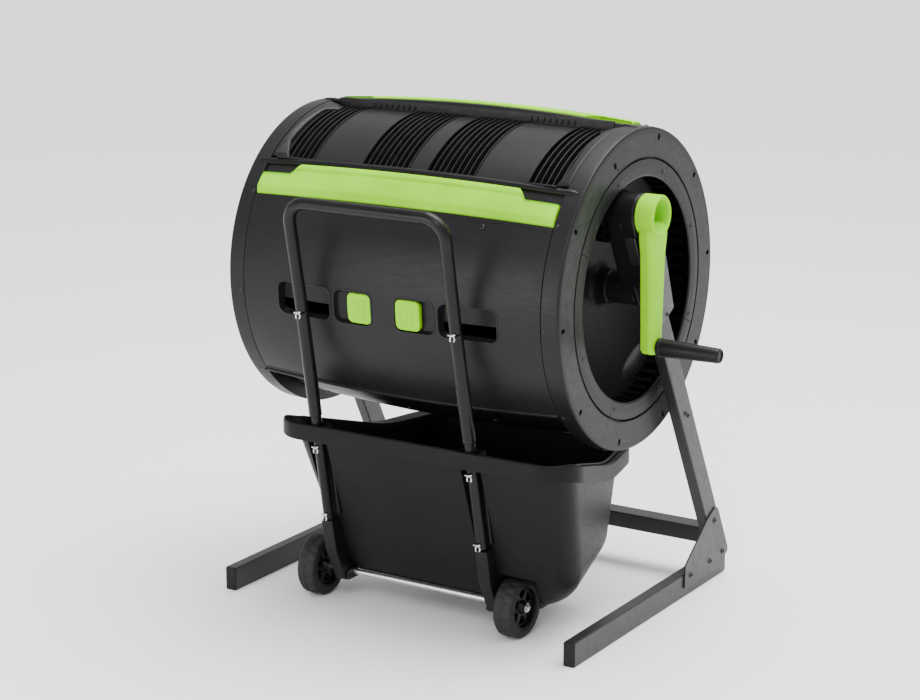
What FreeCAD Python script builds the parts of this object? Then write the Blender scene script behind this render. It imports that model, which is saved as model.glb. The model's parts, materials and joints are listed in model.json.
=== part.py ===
import FreeCAD, Part
import math
import os

import Sketcher

# Geared compost tumbler on a tube stand, with a wheeled bin parked underneath.
# X runs along the drum (crank at +X), -Y is the side with the bin's handle, +Z is up.
# Pieces are drawn in the drum's own frame: origin on the floor under the middle of the
# drum, or on the drum's axis for the pieces that turn with it. shift_x and shift_y then
# put the origin of the whole part under the middle of its bounding box.

Vector = FreeCAD.Vector
Rotation = FreeCAD.Rotation
Placement = FreeCAD.Placement

doc = FreeCAD.newDocument("CompostTumbler")

SIZES = {
    "shift_x": -83.3,
    "shift_y": 33.0,
    # drum
    "axis_height": 681.0,
    "drum_half": 382.5,
    "band_start": 345.0,
    "end_radius": 320.0,
    "mid_radius": 336.0,
    "shell_wall": 6.0,
    "section_angle": 72.0,
    "section_gap": 0.5,
    "panel_recess": 28.0,
    "vent_radius": 312.0,
    "cover_outer": 258.0,
    "cover_inner": 223.0,
    "hub_radius": 32.0,
    "stub_radius": 12.5,
    # gearing
    "tooth_module": 8.6,
    "ring_teeth": 54.0,
    "pinion_teeth": 13.0,
    "gear_width": 36.0,
    "gear_start": 331.0,
    "crank_lean": 20.5,
    # stand
    "foot_offset": 407.0,
    "tube_tall": 50.0,
    "tube_wide": 25.0,
    "tube_wall": 2.0,
    "foot_front": -306.0,
    "foot_rear": 350.0,
    "leg_lean": 27.7,
    "plate_thick": 3.5,
    # crank
    "shaft_radius": 9.0,
    "housing_start": 360.0,
    "housing_radius": 40.0,
    "crank_hub_radius": 40.5,
    "crank_hub_depth": 40.0,
    "crank_reach": 258.0,
    "pin_radius": 5.0,
    "grip_length": 135.0,
    # bin cart
    "cart_tube_radius": 12.5,
    "wheel_radius": 62.5,
    "wheel_width": 42.0,
    "wheel_offset": 237.0,
    "wheel_y": -217.0,
    "axle_radius": 6.0,
    "bin_centre": 80.0,
    "bin_front": -336.0,
    "bin_rear": 104.0,
    "bin_front_half": 334.0,
    "bin_rear_half": 227.0,
    "bin_top": 402.0,
    "bin_floor": 70.0,
    "bin_wall": 3.5,
    "rim_overhang": 18.0,
    "rim_tall": 34.0,
}

sheet = doc.addObject("Spreadsheet::Sheet", "Sizes")
for row, (alias, value) in enumerate(SIZES.items(), start=1):
    sheet.set(f"A{row}", alias.replace("_", " "))
    sheet.set(f"B{row}", str(value))
    sheet.setAlias(f"B{row}", alias)
doc.recompute()


def size(alias):
    """A driving dimension, read back from the sheet."""
    return float(sheet.get(alias))


# ---------------------------------------------------------------- helpers

PARTS = []


def place(piece, angle=None, on_axis=False):
    """Move a piece into the part's frame; angle is where its middle sits round the drum."""
    turn = Rotation() if angle is None else Rotation(Vector(1, 0, 0), 90.0 - angle)
    piece.Placement = Placement(Vector(0, 0, 0), turn)
    piece.setExpression(".Placement.Base.x", "Sizes.shift_x")
    piece.setExpression(".Placement.Base.y", "Sizes.shift_y")
    if on_axis:
        piece.setExpression(".Placement.Base.z", "Sizes.axis_height")
    PARTS.append(piece)
    return piece


def new_body(name):
    body = doc.addObject("PartDesign::Body", name)
    body.Label = name
    return body


def new_sketch(body, plane, offset=0.0, offset_expr=None):
    """A sketch on one of the body's own origin planes, moved along its normal."""
    sketch = body.newObject("Sketcher::SketchObject", body.Name + "_sketch")
    origin_plane = next(f for f in body.Origin.OriginFeatures if f.Role == plane)
    sketch.AttachmentSupport = [(origin_plane, "")]
    sketch.MapMode = "FlatFace"
    sketch.AttachmentOffset = Placement(Vector(0, 0, offset), Rotation())
    if offset_expr:
        sketch.setExpression("AttachmentOffset.Base.z", offset_expr)
    return sketch


def polygon(sketch, points):
    for start, end in zip(points, points[1:] + points[:1]):
        sketch.addGeometry(Part.LineSegment(Vector(*start, 0), Vector(*end, 0)), False)


def corner_arc(before, corner, after, radius):
    """Tangent points and mid point of the arc that rounds one corner."""
    to_before = (Vector(*before, 0) - Vector(*corner, 0)).normalize()
    to_after = (Vector(*after, 0) - Vector(*corner, 0)).normalize()
    half = to_before.getAngle(to_after) / 2
    reach = radius / math.tan(half)
    middle = (to_before + to_after).normalize()
    point = Vector(*corner, 0)
    return (
        point + to_before * reach,
        point + middle * (radius / math.sin(half) - radius),
        point + to_after * reach,
    )


def rounded_edges(points, radius):
    """Line and arc edges of a closed outline whose corners are all rounded alike."""
    count = len(points)
    arcs = []
    for i in range(count):
        arcs.append(corner_arc(points[i - 1], points[i], points[(i + 1) % count], radius))
    edges = []
    for i, arc in enumerate(arcs):
        edges.append(Part.Arc(*arc))
        edges.append(Part.LineSegment(arc[2], arcs[(i + 1) % count][0]))
    return edges


def rounded_polygon(sketch, points, radius):
    for edge in rounded_edges(points, radius):
        sketch.addGeometry(edge, False)


def circle(sketch, x, y, radius, expr=None):
    index = sketch.addGeometry(
        Part.Circle(Vector(x, y, 0), Vector(0, 0, 1), radius), False
    )
    if expr:
        number = sketch.addConstraint(Sketcher.Constraint("Radius", index, radius))
        sketch.setExpression(f"Constraints[{number}]", expr)


def pad(body, sketch, length, middle=False):
    """Pad a sketch; length is a number or an expression on the sheet."""
    feature = body.newObject("PartDesign::Pad", body.Name + "_pad")
    feature.Profile = sketch
    feature.Midplane = middle
    if isinstance(length, str):
        feature.Length = 1
        feature.setExpression("Length", length)
    else:
        feature.Length = length
    return feature


def pocket(body, sketch, length=None, middle=True):
    """Cut a sketch out of the body, right through if no length is given."""
    feature = body.newObject("PartDesign::Pocket", body.Name + "_pocket")
    feature.Profile = sketch
    feature.Midplane = middle
    if length is None:
        feature.Type = 1
    else:
        feature.Length = length
    return feature


def revolve(body, sketch, angle=360.0, expr=None):
    """Turn a sketch about the drum's axis, evenly to both sides of its plane."""
    feature = body.newObject("PartDesign::Revolution", body.Name + "_revolution")
    feature.Profile = sketch
    feature.ReferenceAxis = (sketch, ["H_Axis"])
    feature.Midplane = True
    feature.Angle = angle
    if expr:
        feature.setExpression("Angle", expr)
    return feature


def solid_feature(name, shape, angle=None, on_axis=False):
    """A sub-part whose shape comes straight from Part's functions."""
    feature = doc.addObject("Part::Feature", name)
    feature.Label = name
    feature.Shape = shape
    return place(feature, angle, on_axis)


def extruded(name, plane, points, start, length, radius=0.0, on_axis=False, holes=()):
    """A flat piece: one outline on a plane at start, padded by length."""
    body = new_body(name)
    sketch = new_sketch(body, plane, start)
    if radius:
        rounded_polygon(sketch, points, radius)
    else:
        polygon(sketch, points)
    for x, y, hole in holes:
        circle(sketch, x, y, hole)
    pad(body, sketch, length)
    return place(body, on_axis=on_axis)


def rod(start, end, radius):
    """A plain round bar between two points."""
    along = Vector(*end) - Vector(*start)
    return Part.makeCylinder(radius, along.Length, Vector(*start), along)


def tube(start, end, radius, wall):
    return rod(start, end, radius).cut(rod(start, end, radius - wall))


def polar(radius, angle):
    """(y, z) of a point round the drum's axis; angle 0 is the front, 90 the top."""
    turn = math.radians(angle)
    return -radius * math.cos(turn), radius * math.sin(turn)


def barrel_radius(x, drop=0.0):
    """The drum's outer radius at x: fullest in the middle, smaller at the bands."""
    half = size("band_start")
    end = size("end_radius") + 1.5
    return size("mid_radius") - (size("mid_radius") - end) * (x / half) ** 2 - drop


def barrel_profile(sketch, half_length, outer_drop, thick):
    """The slightly bowed cross-section of a curved panel, seen in its own middle plane."""
    points = []
    for drop in (outer_drop, outer_drop + thick):
        points.append(Vector(-half_length, barrel_radius(half_length, drop), 0))
        points.append(Vector(0, barrel_radius(0, drop), 0))
        points.append(Vector(half_length, barrel_radius(half_length, drop), 0))
    sketch.addGeometry(Part.Arc(points[0], points[1], points[2]), False)
    sketch.addGeometry(Part.LineSegment(points[2], points[5]), False)
    sketch.addGeometry(Part.Arc(points[5], points[4], points[3]), False)
    sketch.addGeometry(Part.LineSegment(points[3], points[0]), False)


def group(name, pieces):
    """Several solids of one kind, or one moulding in two solids, kept as one node."""
    compound = doc.addObject("Part::Compound", name)
    compound.Label = name
    compound.Links = pieces
    for piece in pieces:
        PARTS.remove(piece)
    PARTS.append(compound)
    return compound


def rectangle(x0, x1, y0, y1):
    return [(x0, y0), (x1, y0), (x1, y1), (x0, y1)]


# ---------------------------------------------------------------- drum ends

RIM_HOLE_STEP = 36.0
RIM_HOLE_RADIUS = 302.0
LOW_HOLE_ANGLE = 67.7


def rim_hole_places():
    """Ten fixings round each end; the one at the vent sits further in."""
    for number in range(10):
        angle = LOW_HOLE_ANGLE - RIM_HOLE_STEP * number
        yield angle, RIM_HOLE_RADIUS - (20.0 if number == 0 else 0.0)


def end_ring(name, side):
    """The end band of the drum and its flat outer ring, one moulding."""
    face = size("drum_half")
    band = size("band_start")
    radius = size("end_radius")
    bore = size("cover_outer") + 3.5
    shoulder = 7.0
    wall = 8.0
    web = 4.0
    web_bore = radius - size("panel_recess") - 7.0
    body = new_body(name)
    sketch = new_sketch(body, "XZ_Plane")
    run = [
        (band, radius + 1.5),
        (face - shoulder, radius),
        (face, radius - shoulder),
        (face, bore),
        (face - wall, bore),
        (face - wall, radius - wall - 6),
        (band + web, radius - wall),
        (band + web, web_bore),
        (band, web_bore),
    ]
    for i, start in enumerate(run):
        end = run[(i + 1) % len(run)]
        first = Vector(side * start[0], start[1], 0)
        last = Vector(side * end[0], end[1], 0)
        if i == 1:
            bulge = shoulder * math.sin(math.radians(45))
            middle = Vector(
                side * (face - shoulder + bulge), radius - shoulder + bulge, 0
            )
            sketch.addGeometry(Part.Arc(first, middle, last), False)
        else:
            sketch.addGeometry(Part.LineSegment(first, last), False)
    revolve(body, sketch)
    holes = new_sketch(body, "YZ_Plane", side * face)
    for angle, at_radius in rim_hole_places():
        y, z = polar(at_radius, angle)
        circle(holes, y, z, 4.5)
    pocket(body, holes, 24.0)
    return place(body, on_axis=True)


def end_dish(name, side):
    """The bowl-shaped end wall inside the ring, with the hub that the axle enters."""
    lip = size("drum_half") - 8.5
    floor = 288.0
    wall = 4.0
    rim = size("cover_outer") + 3.0
    well = 246.0
    hub = size("hub_radius")
    body = new_body(name)
    sketch = new_sketch(body, "XZ_Plane")
    bore = size("stub_radius") + 6.5
    outline = [
        (lip, rim),
        (lip, well),
        (329.0, well),
        (329.0, well - 12.0),
        (floor + wall, hub + 22.0),
        (floor + wall + 2.0, hub),
        (384.0, hub - 3.0),
        (384.0, bore),
        (floor, bore),
        (floor, hub + 22.0),
        (325.0, well + wall),
        (lip - wall, well + wall),
        (lip - wall, rim),
    ]
    polygon(sketch, [(side * x, radius) for x, radius in outline])
    revolve(body, sketch)
    return place(body, on_axis=True)


def hub_bush(name, side):
    """The plain bearing pressed into the hub, running on the stub axle."""
    body = new_body(name)
    sketch = new_sketch(body, "YZ_Plane", side * 384.0 if side < 0 else 310.0)
    circle(sketch, 0, 0, size("stub_radius") + 6.5)
    circle(sketch, 0, 0, size("stub_radius") + 0.06)
    pad(body, sketch, 74.0)
    return place(body, on_axis=True)


COVER_JOINTS = 4
COVER_JOINT_ANGLE = 25.8
COVER_SCREW_ANGLE = 22.6
COVER_SCREWS = 8


def ring_cover(name, side):
    """The inner cover ring, in four arc segments that hide the gear's mounting."""
    face = size("drum_half")
    step = 360.0 / COVER_JOINTS
    gap = 0.25
    segments = []
    for number in range(COVER_JOINTS):
        start = COVER_JOINT_ANGLE + number * step
        profile = [
            (face - 8.0, size("cover_inner") + 3.0),
            (face - 2.5, size("cover_inner")),
            (face, size("cover_inner") + 2.5),
            (face, size("cover_outer")),
            (face - 8.0, size("cover_outer")),
        ]
        points = [Vector(side * x, 0, radius) for x, radius in profile]
        sector = Part.Face(Part.makePolygon(points + points[:1]))
        sector = sector.revolve(Vector(0, 0, 0), Vector(1, 0, 0), step - gap)
        sector.rotate(Vector(0, 0, 0), Vector(1, 0, 0), 90.0 - start - step + gap / 2)
        segments.append(sector)
    return solid_feature(name, Part.makeCompound(segments), on_axis=True)


def screw_group(name, spots, radius, head, on_axis=True):
    """A set of identical pan-head screws; each spot is a point and its outward axis."""
    screws = []
    for point, axis in spots:
        top = Part.makeCylinder(radius, head, Vector(*point), Vector(*axis))
        screws.append(top)
    return solid_feature(name, Part.makeCompound(screws), on_axis=on_axis)


def end_screws():
    """Screws down in the rim holes, on the cover rings and on the end bands."""
    face = size("drum_half")
    rim = []
    cover = []
    band = []
    for side in (-1, 1):
        outward = (side, 0, 0)
        for angle, at_radius in rim_hole_places():
            y, z = polar(at_radius, angle)
            rim.append(((side * (face - 8.0), y, z), outward))
            y, z = polar(barrel_radius(size("band_start")) - 0.7, angle)
            outward_y, outward_z = polar(1.0, angle)
            band.append(((side * (face - 15.5), y, z), (0, outward_y, outward_z)))
        for number in range(COVER_SCREWS):
            y, z = polar(size("cover_outer") - 17.0, COVER_SCREW_ANGLE + 45.0 * number)
            cover.append(((side * face, y, z), outward))
    groups = [
        screw_group("rim_screws", rim, 4.3, 4.0),
        screw_group("cover_screws", cover, 3.2, 1.2),
        screw_group("band_screws", band, 3.2, 1.6),
    ]
    group("drum_screws", groups)


# ---------------------------------------------------------------- gears


def involute_flank(base, start, end, steps=5):
    """Points (radius, polar angle) of an involute from one radius to another."""
    flank = []
    for i in range(steps + 1):
        radius = start + (end - start) * i / steps
        roll = math.sqrt(max(0.0, (radius / base) ** 2 - 1.0))
        flank.append((radius, roll - math.atan(roll)))
    return flank


def gear_outline(teeth, root, tip, slack):
    """Closed outline of a spur gear; slack widens (+) or narrows (-) each tooth."""
    pitch = size("tooth_module") * teeth / 2
    base = pitch * math.cos(math.radians(20.0))
    flank = involute_flank(base, max(root, base), tip)
    roll = math.tan(math.radians(20.0)) - math.radians(20.0)
    half = math.pi / (2 * teeth) + slack / (2 * pitch) + roll
    points = []
    for tooth in range(int(teeth)):
        middle = 2 * math.pi * tooth / teeth
        side = [(radius, -(half - turn)) for radius, turn in flank]
        if root < base:
            side.insert(0, (root, side[0][1]))
        mirrored = [(radius, -turn) for radius, turn in reversed(side)]
        for radius, turn in side + mirrored:
            points.append(
                Vector(
                    0,
                    radius * math.sin(middle + turn),
                    radius * math.cos(middle + turn),
                )
            )
    return Part.Face(Part.makePolygon(points + points[:1]))


def ring_gear():
    """Internal gear fixed in the right-hand end; its gaps are a spur gear's teeth."""
    module = size("tooth_module")
    pitch = module * size("ring_teeth") / 2
    width = size("gear_width")
    gaps = gear_outline(size("ring_teeth"), pitch - 0.75 * module, pitch + module, 0.5)
    gaps = gaps.extrude(Vector(width + 2, 0, 0))
    start = size("gear_start")
    gaps.translate(Vector(start - 1, 0, 0))
    # A gap of the ring faces the pinion's first tooth at rest.
    gaps.rotate(Vector(0, 0, 0), Vector(1, 0, 0), size("crank_lean"))
    ring = Part.makeCylinder(245.9, width, Vector(start, 0, 0), Vector(1, 0, 0))
    ring = ring.cut(gaps)
    return solid_feature("ring_gear", ring, on_axis=True)


def crank_axis():
    """(y, z) of the crank's axis above the drum's axis."""
    distance = size("tooth_module") * (size("ring_teeth") - size("pinion_teeth")) / 2
    lean = math.radians(size("crank_lean"))
    return -distance * math.sin(lean), distance * math.cos(lean)


def pinion_gear():
    """Small gear on the crank's shaft, inside the ring gear."""
    module = size("tooth_module")
    pitch = module * size("pinion_teeth") / 2
    y, z = crank_axis()
    outline = gear_outline(
        size("pinion_teeth"), pitch - 1.1 * module, pitch + 0.8 * module, -0.5
    )
    gear = outline.extrude(Vector(size("gear_width") - 9, 0, 0))
    gear.rotate(Vector(0, 0, 0), Vector(1, 0, 0), size("crank_lean"))
    gear.translate(Vector(size("gear_start") + 1, y, z))
    bore = rod((300, y, z), (400, y, z), size("shaft_radius"))
    return solid_feature("pinion_gear", gear.cut(bore), on_axis=True)


# ---------------------------------------------------------------- drum panels

VENT_ANGLE = 67.6
DOOR_ANGLES = {"front": VENT_ANGLE - 72.0, "rear": VENT_ANGLE + 72.0}
PANEL_ANGLES = {"front": VENT_ANGLE - 144.0, "rear": VENT_ANGLE + 144.0}
STRIP_OFFSET = 30.35
STRIP_ANGLE = 12.3
RAIL_OFFSET = 22.75
RAIL_ANGLE = 2.4


def lower_panel(side):
    """Fixed wall panel, set back so that the door can slide over it."""
    body = new_body(f"lower_panel_{side}")
    sketch = new_sketch(body, "XZ_Plane")
    barrel_profile(sketch, size("band_start") - 0.3, size("panel_recess"), 5.0)
    revolve(body, sketch, 71.5, "Sizes.section_angle - Sizes.section_gap")
    return place(body, PANEL_ANGLES[side], on_axis=True)


HAND_HOLE = (127.0, 253.0)
LATCH_HOLE = (28.0, 115.0)
HOLE_LOW = -34.0
HOLE_HIGH = 31.6


def door(side):
    """Sliding door: a curved shell with two hand holes and two latch openings."""
    toward = 1 if side == "front" else -1
    body = new_body(f"door_shell_{side}")
    sketch = new_sketch(body, "XZ_Plane")
    barrel_profile(sketch, size("band_start") - 1.0, 0.0, size("shell_wall"))
    revolve(body, sketch, 71.0, "Sizes.section_angle - 2 * Sizes.section_gap")
    low, high = sorted((toward * HOLE_LOW, toward * HOLE_HIGH))
    openings = new_sketch(body, "XY_Plane")
    for mirror in (-1, 1):
        for start, end in (HAND_HOLE, LATCH_HOLE):
            x0, x1 = sorted((mirror * start, mirror * end))
            rounded_polygon(openings, rectangle(x0, x1, low, high), 18.0)
    pocket(body, openings)
    return place(body, DOOR_ANGLES[side], on_axis=True)


def door_lip(side):
    """Raised rail along the door's lower edge."""
    toward = -1 if side == "front" else 1
    body = new_body(f"door_lip_{side}")
    sketch = new_sketch(body, "XZ_Plane")
    barrel_profile(sketch, size("band_start") - 1.0, -4.0, 3.9)
    revolve(body, sketch, 1.7)
    return place(body, DOOR_ANGLES[side] + toward * 34.2, on_axis=True)


def latch_tray(side, hand):
    """Shallow box behind a latch opening, which the latch slides in."""
    toward = 1 if side == "front" else -1
    mirror = -1 if hand == "left" else 1
    low, high = sorted((toward * HOLE_LOW, toward * HOLE_HIGH))
    x0, x1 = sorted((mirror * LATCH_HOLE[0], mirror * LATCH_HOLE[1]))
    floor = size("mid_radius") - 24.0
    top = size("mid_radius") - size("shell_wall") - 3.0
    body = new_body(f"latch_tray_{side}_{hand}")
    base = new_sketch(body, "XY_Plane", floor)
    rounded_polygon(base, rectangle(x0 - 2.5, x1 + 2.5, low - 2.5, high + 2.5), 18.0)
    pad(body, base, top - floor)
    well = new_sketch(body, "XY_Plane", floor + 2.5)
    rounded_polygon(well, rectangle(x0, x1, low, high), 16.0)
    feature = pocket(body, well, 30.0, middle=False)
    feature.Reversed = True
    return place(body, DOOR_ANGLES[side], on_axis=True)


LATCH_WIDTH = 55.0


def latch_grip(side, hand):
    """Grooved thumb slide; it sits at the inner end of its opening when locked."""
    toward = 1 if side == "front" else -1
    mirror = -1 if hand == "left" else 1
    low, high = sorted((toward * (HOLE_LOW + 2.0), toward * (HOLE_HIGH - 2.0)))
    start = mirror * (LATCH_HOLE[0] + 0.5)
    end = start + mirror * LATCH_WIDTH
    x0, x1 = sorted((start, end))
    floor = size("mid_radius") - 21.2
    crown = size("mid_radius") - 1.5
    body = new_body(f"latch_{side}_{hand}")
    sketch = new_sketch(body, "XY_Plane", floor)
    rounded_polygon(sketch, rectangle(x0, x1, low, high), 17.0)
    pad(body, sketch, crown - floor)
    grooves = new_sketch(body, "XY_Plane", crown + 2.0)
    for number in range(4):
        at = start + mirror * (11.75 + 10.5 * number)
        rounded_polygon(grooves, rectangle(at - 2.2, at + 2.2, low + 5, high - 5), 2.0)
    pocket(body, grooves, 14.0, middle=False)
    return place(body, DOOR_ANGLES[side], on_axis=True)


FIN_PITCH = 13.5
FIN_THICK = 3.0
FIN_HALF = 106.0
FIN_GROUPS = ((-252.0, -1, 5), (-24.0, -1, 8), (24.0, 1, 8), (252.0, 1, 5))
VENT_HALF = 324.0


VENT_ARC = 21.3
VENT_LIP = 0.8


def round_axis(radius, angle):
    """Point in the panel's own end view; the angle is from the panel's middle."""
    turn = math.radians(angle)
    return Vector(-VENT_HALF, -radius * math.sin(turn), radius * math.cos(turn))


def vent_section(inner, outer, lip_top):
    """End view of the vent: a thin arc with a lip turned up along both edges."""
    inside = VENT_ARC - VENT_LIP
    runs = [
        (inner, -VENT_ARC, VENT_ARC),
        (lip_top, VENT_ARC, inside),
        (outer, inside, -inside),
        (lip_top, -inside, -VENT_ARC),
    ]
    edges = []
    for number, (radius, start, end) in enumerate(runs):
        ends = round_axis(radius, start), round_axis(radius, end)
        middle = round_axis(radius, (start + end) / 2)
        edges.append(Part.Arc(ends[0], middle, ends[1]).toShape())
        after = runs[(number + 1) % len(runs)]
        edges.append(Part.LineSegment(ends[1], round_axis(after[0], after[1])).toShape())
    return Part.Face(Part.Wire(edges))


def vent_panel():
    """Recessed grille between the two green strips."""
    radius = size("vent_radius")
    section = vent_section(radius - 4.0, radius, size("mid_radius") - 20.0)
    panel = section.extrude(Vector(2 * VENT_HALF, 0, 0))
    slots = []
    for start, direction, count in FIN_GROUPS:
        for number in range(count):
            near = start + direction * FIN_PITCH * number
            far = near + direction * (FIN_PITCH - FIN_THICK)
            corner = Vector(min(near, far), -FIN_HALF, radius - 60.0)
            slots.append(
                Part.makeBox(FIN_PITCH - FIN_THICK, 2 * FIN_HALF, 100.0, corner)
            )
    panel = panel.cut(Part.makeCompound(slots))
    return solid_feature("vent_panel", panel, VENT_ANGLE, on_axis=True)


def vent_end_frame(name, side):
    """Stepped frame that closes the vent's end against the drum's band."""
    inner = side * 325.0
    outer = side * (size("band_start") - 0.3)
    x0, x1 = sorted((inner, outer))
    body = new_body(name)
    sketch = new_sketch(body, "XZ_Plane")
    polygon(
        sketch,
        [
            (x0, size("vent_radius") - 4.0),
            (x1, size("vent_radius") - 4.0),
            (x1, 321.0 if side > 0 else 316.0),
            (x0, 316.0 if side > 0 else 321.0),
        ],
    )
    revolve(body, sketch, 42.4)
    return place(body, VENT_ANGLE, on_axis=True)


def joiner_rail(name, offset):
    """Black rail that carries a green strip and borders the vent."""
    body = new_body(name)
    sketch = new_sketch(body, "XZ_Plane")
    barrel_profile(sketch, size("band_start") - 0.3, -1.0, 22.0)
    revolve(body, sketch, RAIL_ANGLE)
    return place(body, VENT_ANGLE + offset, on_axis=True)


def strip_bed(name, offset):
    """Wall strip of the drum under a green grab strip."""
    body = new_body(name)
    sketch = new_sketch(body, "XZ_Plane")
    barrel_profile(sketch, size("band_start") - 0.3, 4.0, 8.0)
    revolve(body, sketch, STRIP_ANGLE - 0.2)
    return place(body, VENT_ANGLE + offset, on_axis=True)


def grab_strip(name, offset):
    """Green strip with a wider raised middle and slimmer ends."""
    toward = 1 if offset < 0 else -1
    body = new_body(name)
    sketch = new_sketch(body, "XZ_Plane")
    barrel_profile(sketch, size("band_start") - 2.0, -6.0, 9.8)
    revolve(body, sketch, STRIP_ANGLE - 0.6)
    trims = new_sketch(body, "XY_Plane", size("mid_radius"))
    for mirror in (-1, 1):
        corner = [
            (mirror * 252.0, toward * 60.0),
            (mirror * 252.0, toward * 36.0),
            (mirror * 272.0, toward * 12.0),
            (mirror * 360.0, toward * 12.0),
            (mirror * 360.0, toward * 60.0),
        ]
        polygon(trims, corner)
    pocket(body, trims, 90.0)
    return place(body, VENT_ANGLE + offset, on_axis=True)


def divider():
    """Wall between the drum's two chambers."""
    body = new_body("chamber_divider")
    sketch = new_sketch(body, "YZ_Plane")
    polygon(sketch, rectangle(-2.5, 2.5, -285.0, 288.0))
    pad(body, sketch, 570.0, middle=True)
    return place(body, VENT_ANGLE, on_axis=True)


SCOOP_SHIFT = -9.0
SCOOP_SWEEP = 40.0


def bowl_surface(radius):
    """Where the right-hand bowl's cone lies along the axis, at a radius."""
    return 292.1 + 37.0 * (radius - size("hub_radius") - 22.0) / (234.0 - size("hub_radius") - 22.0)


def dish_scoop(name, angle):
    """Hood that stands up in the bowl beside the cover ring, clear of the pinion and its shaft."""
    inner = 189.0
    outer = 220.0
    face_x = size("gear_start") - 1.5
    corners = [
        (bowl_surface(inner), inner),
        (face_x - 4.0, inner + 2.0),
        (face_x, inner + 8.0),
        (face_x, outer - 3.0),
        (bowl_surface(outer), outer),
    ]
    points = [Vector(x, 0, radius) for x, radius in corners]
    face = Part.Face(Part.makePolygon(points + points[:1]))
    scoop = face.revolve(Vector(0, 0, 0), Vector(1, 0, 0), SCOOP_SWEEP)
    scoop.rotate(Vector(0, 0, 0), Vector(1, 0, 0), -SCOOP_SWEEP / 2)
    return solid_feature(name, scoop, angle, on_axis=True)


# ---------------------------------------------------------------- stand


def box_tube(name, centre_x, outline, hollow):
    """Rectangular tube whose side view is given; hollow is the same view of its bore."""
    wide = size("tube_wide")
    wall = size("tube_wall")
    body = new_body(name)
    sketch = new_sketch(body, "YZ_Plane", centre_x - wide / 2)
    polygon(sketch, outline)
    pad(body, sketch, "Sizes.tube_wide")
    bore = new_sketch(body, "YZ_Plane", centre_x)
    polygon(bore, hollow)
    pocket(body, bore, wide - 2 * wall)
    return body


def foot_tube(name, side):
    tall = size("tube_tall")
    wall = size("tube_wall")
    front = size("foot_front")
    rear = size("foot_rear")
    outline = rectangle(front, rear, 0.0, tall)
    hollow = rectangle(front - 1.0, rear + 1.0, wall, tall - wall)
    return place(box_tube(name, side * size("foot_offset"), outline, hollow))


def leg_point(along, across):
    """(y, z) on the leaning leg: along it from the axle, across towards the rear."""
    lean = math.radians(size("leg_lean"))
    y = along * math.sin(lean) + across * math.cos(lean)
    z = size("axis_height") - along * math.cos(lean) + across * math.sin(lean)
    return y, z


def leg_tube(name, side):
    """Leaning leg from above the axle down to the top of the foot."""
    half = size("tube_tall") / 2
    wall = size("tube_wall")
    top = -150.0 if side > 0 else -60.0
    lean = math.radians(size("leg_lean"))

    def foot_end(across):
        y_top, z_top = leg_point(0, across)
        along = (z_top - size("tube_tall")) / math.cos(lean)
        return y_top + along * math.sin(lean), size("tube_tall")

    outline = [leg_point(top, -half), foot_end(-half), foot_end(half), leg_point(top, half)]
    inner = half - wall
    hollow = [
        leg_point(top - 1, -inner),
        foot_end(-inner),
        foot_end(inner),
        leg_point(top - 1, inner),
    ]
    body = box_tube(name, side * size("foot_offset"), outline, hollow)
    bore = new_sketch(body, "YZ_Plane", side * size("foot_offset"))
    circle(bore, 0, size("axis_height"), size("stub_radius"), "Sizes.stub_radius")
    if side > 0:
        y, z = crank_axis()
        circle(bore, y, z + size("axis_height"), size("housing_radius") + 0.3)
    pocket(body, bore, 60.0)
    return place(body)


def gusset_plate(name, side):
    """Flat plate that joins leg and foot on the outside."""
    outline = [
        (292.0, 161.0),
        (304.0, 155.0),
        (356.0, 55.0),
        (355.0, 45.0),
        (315.0, 23.0),
        (168.0, 17.0),
        (153.0, 20.0),
        (154.0, 69.0),
        (252.0, 142.0),
    ]
    thick = size("plate_thick")
    outer = side * (size("foot_offset") + size("tube_wide") / 2)
    start = outer if side > 0 else outer - thick
    return extruded(name, "YZ_Plane", outline, start, thick, 3.0)


def leg_top_plate(name, side):
    """Plate over the leg where the stub axle is clamped."""
    outline = [(-25.0, 775.0), (73.0, 637.0), (13.0, 602.0), (-62.0, 741.0)]
    thick = size("plate_thick")
    outer = side * (size("foot_offset") + size("tube_wide") / 2)
    start = outer if side > 0 else outer - thick
    holes = [(0.0, size("axis_height"), size("stub_radius"))]
    return extruded(name, "YZ_Plane", outline, start, thick, 6.0, holes=holes)


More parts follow.
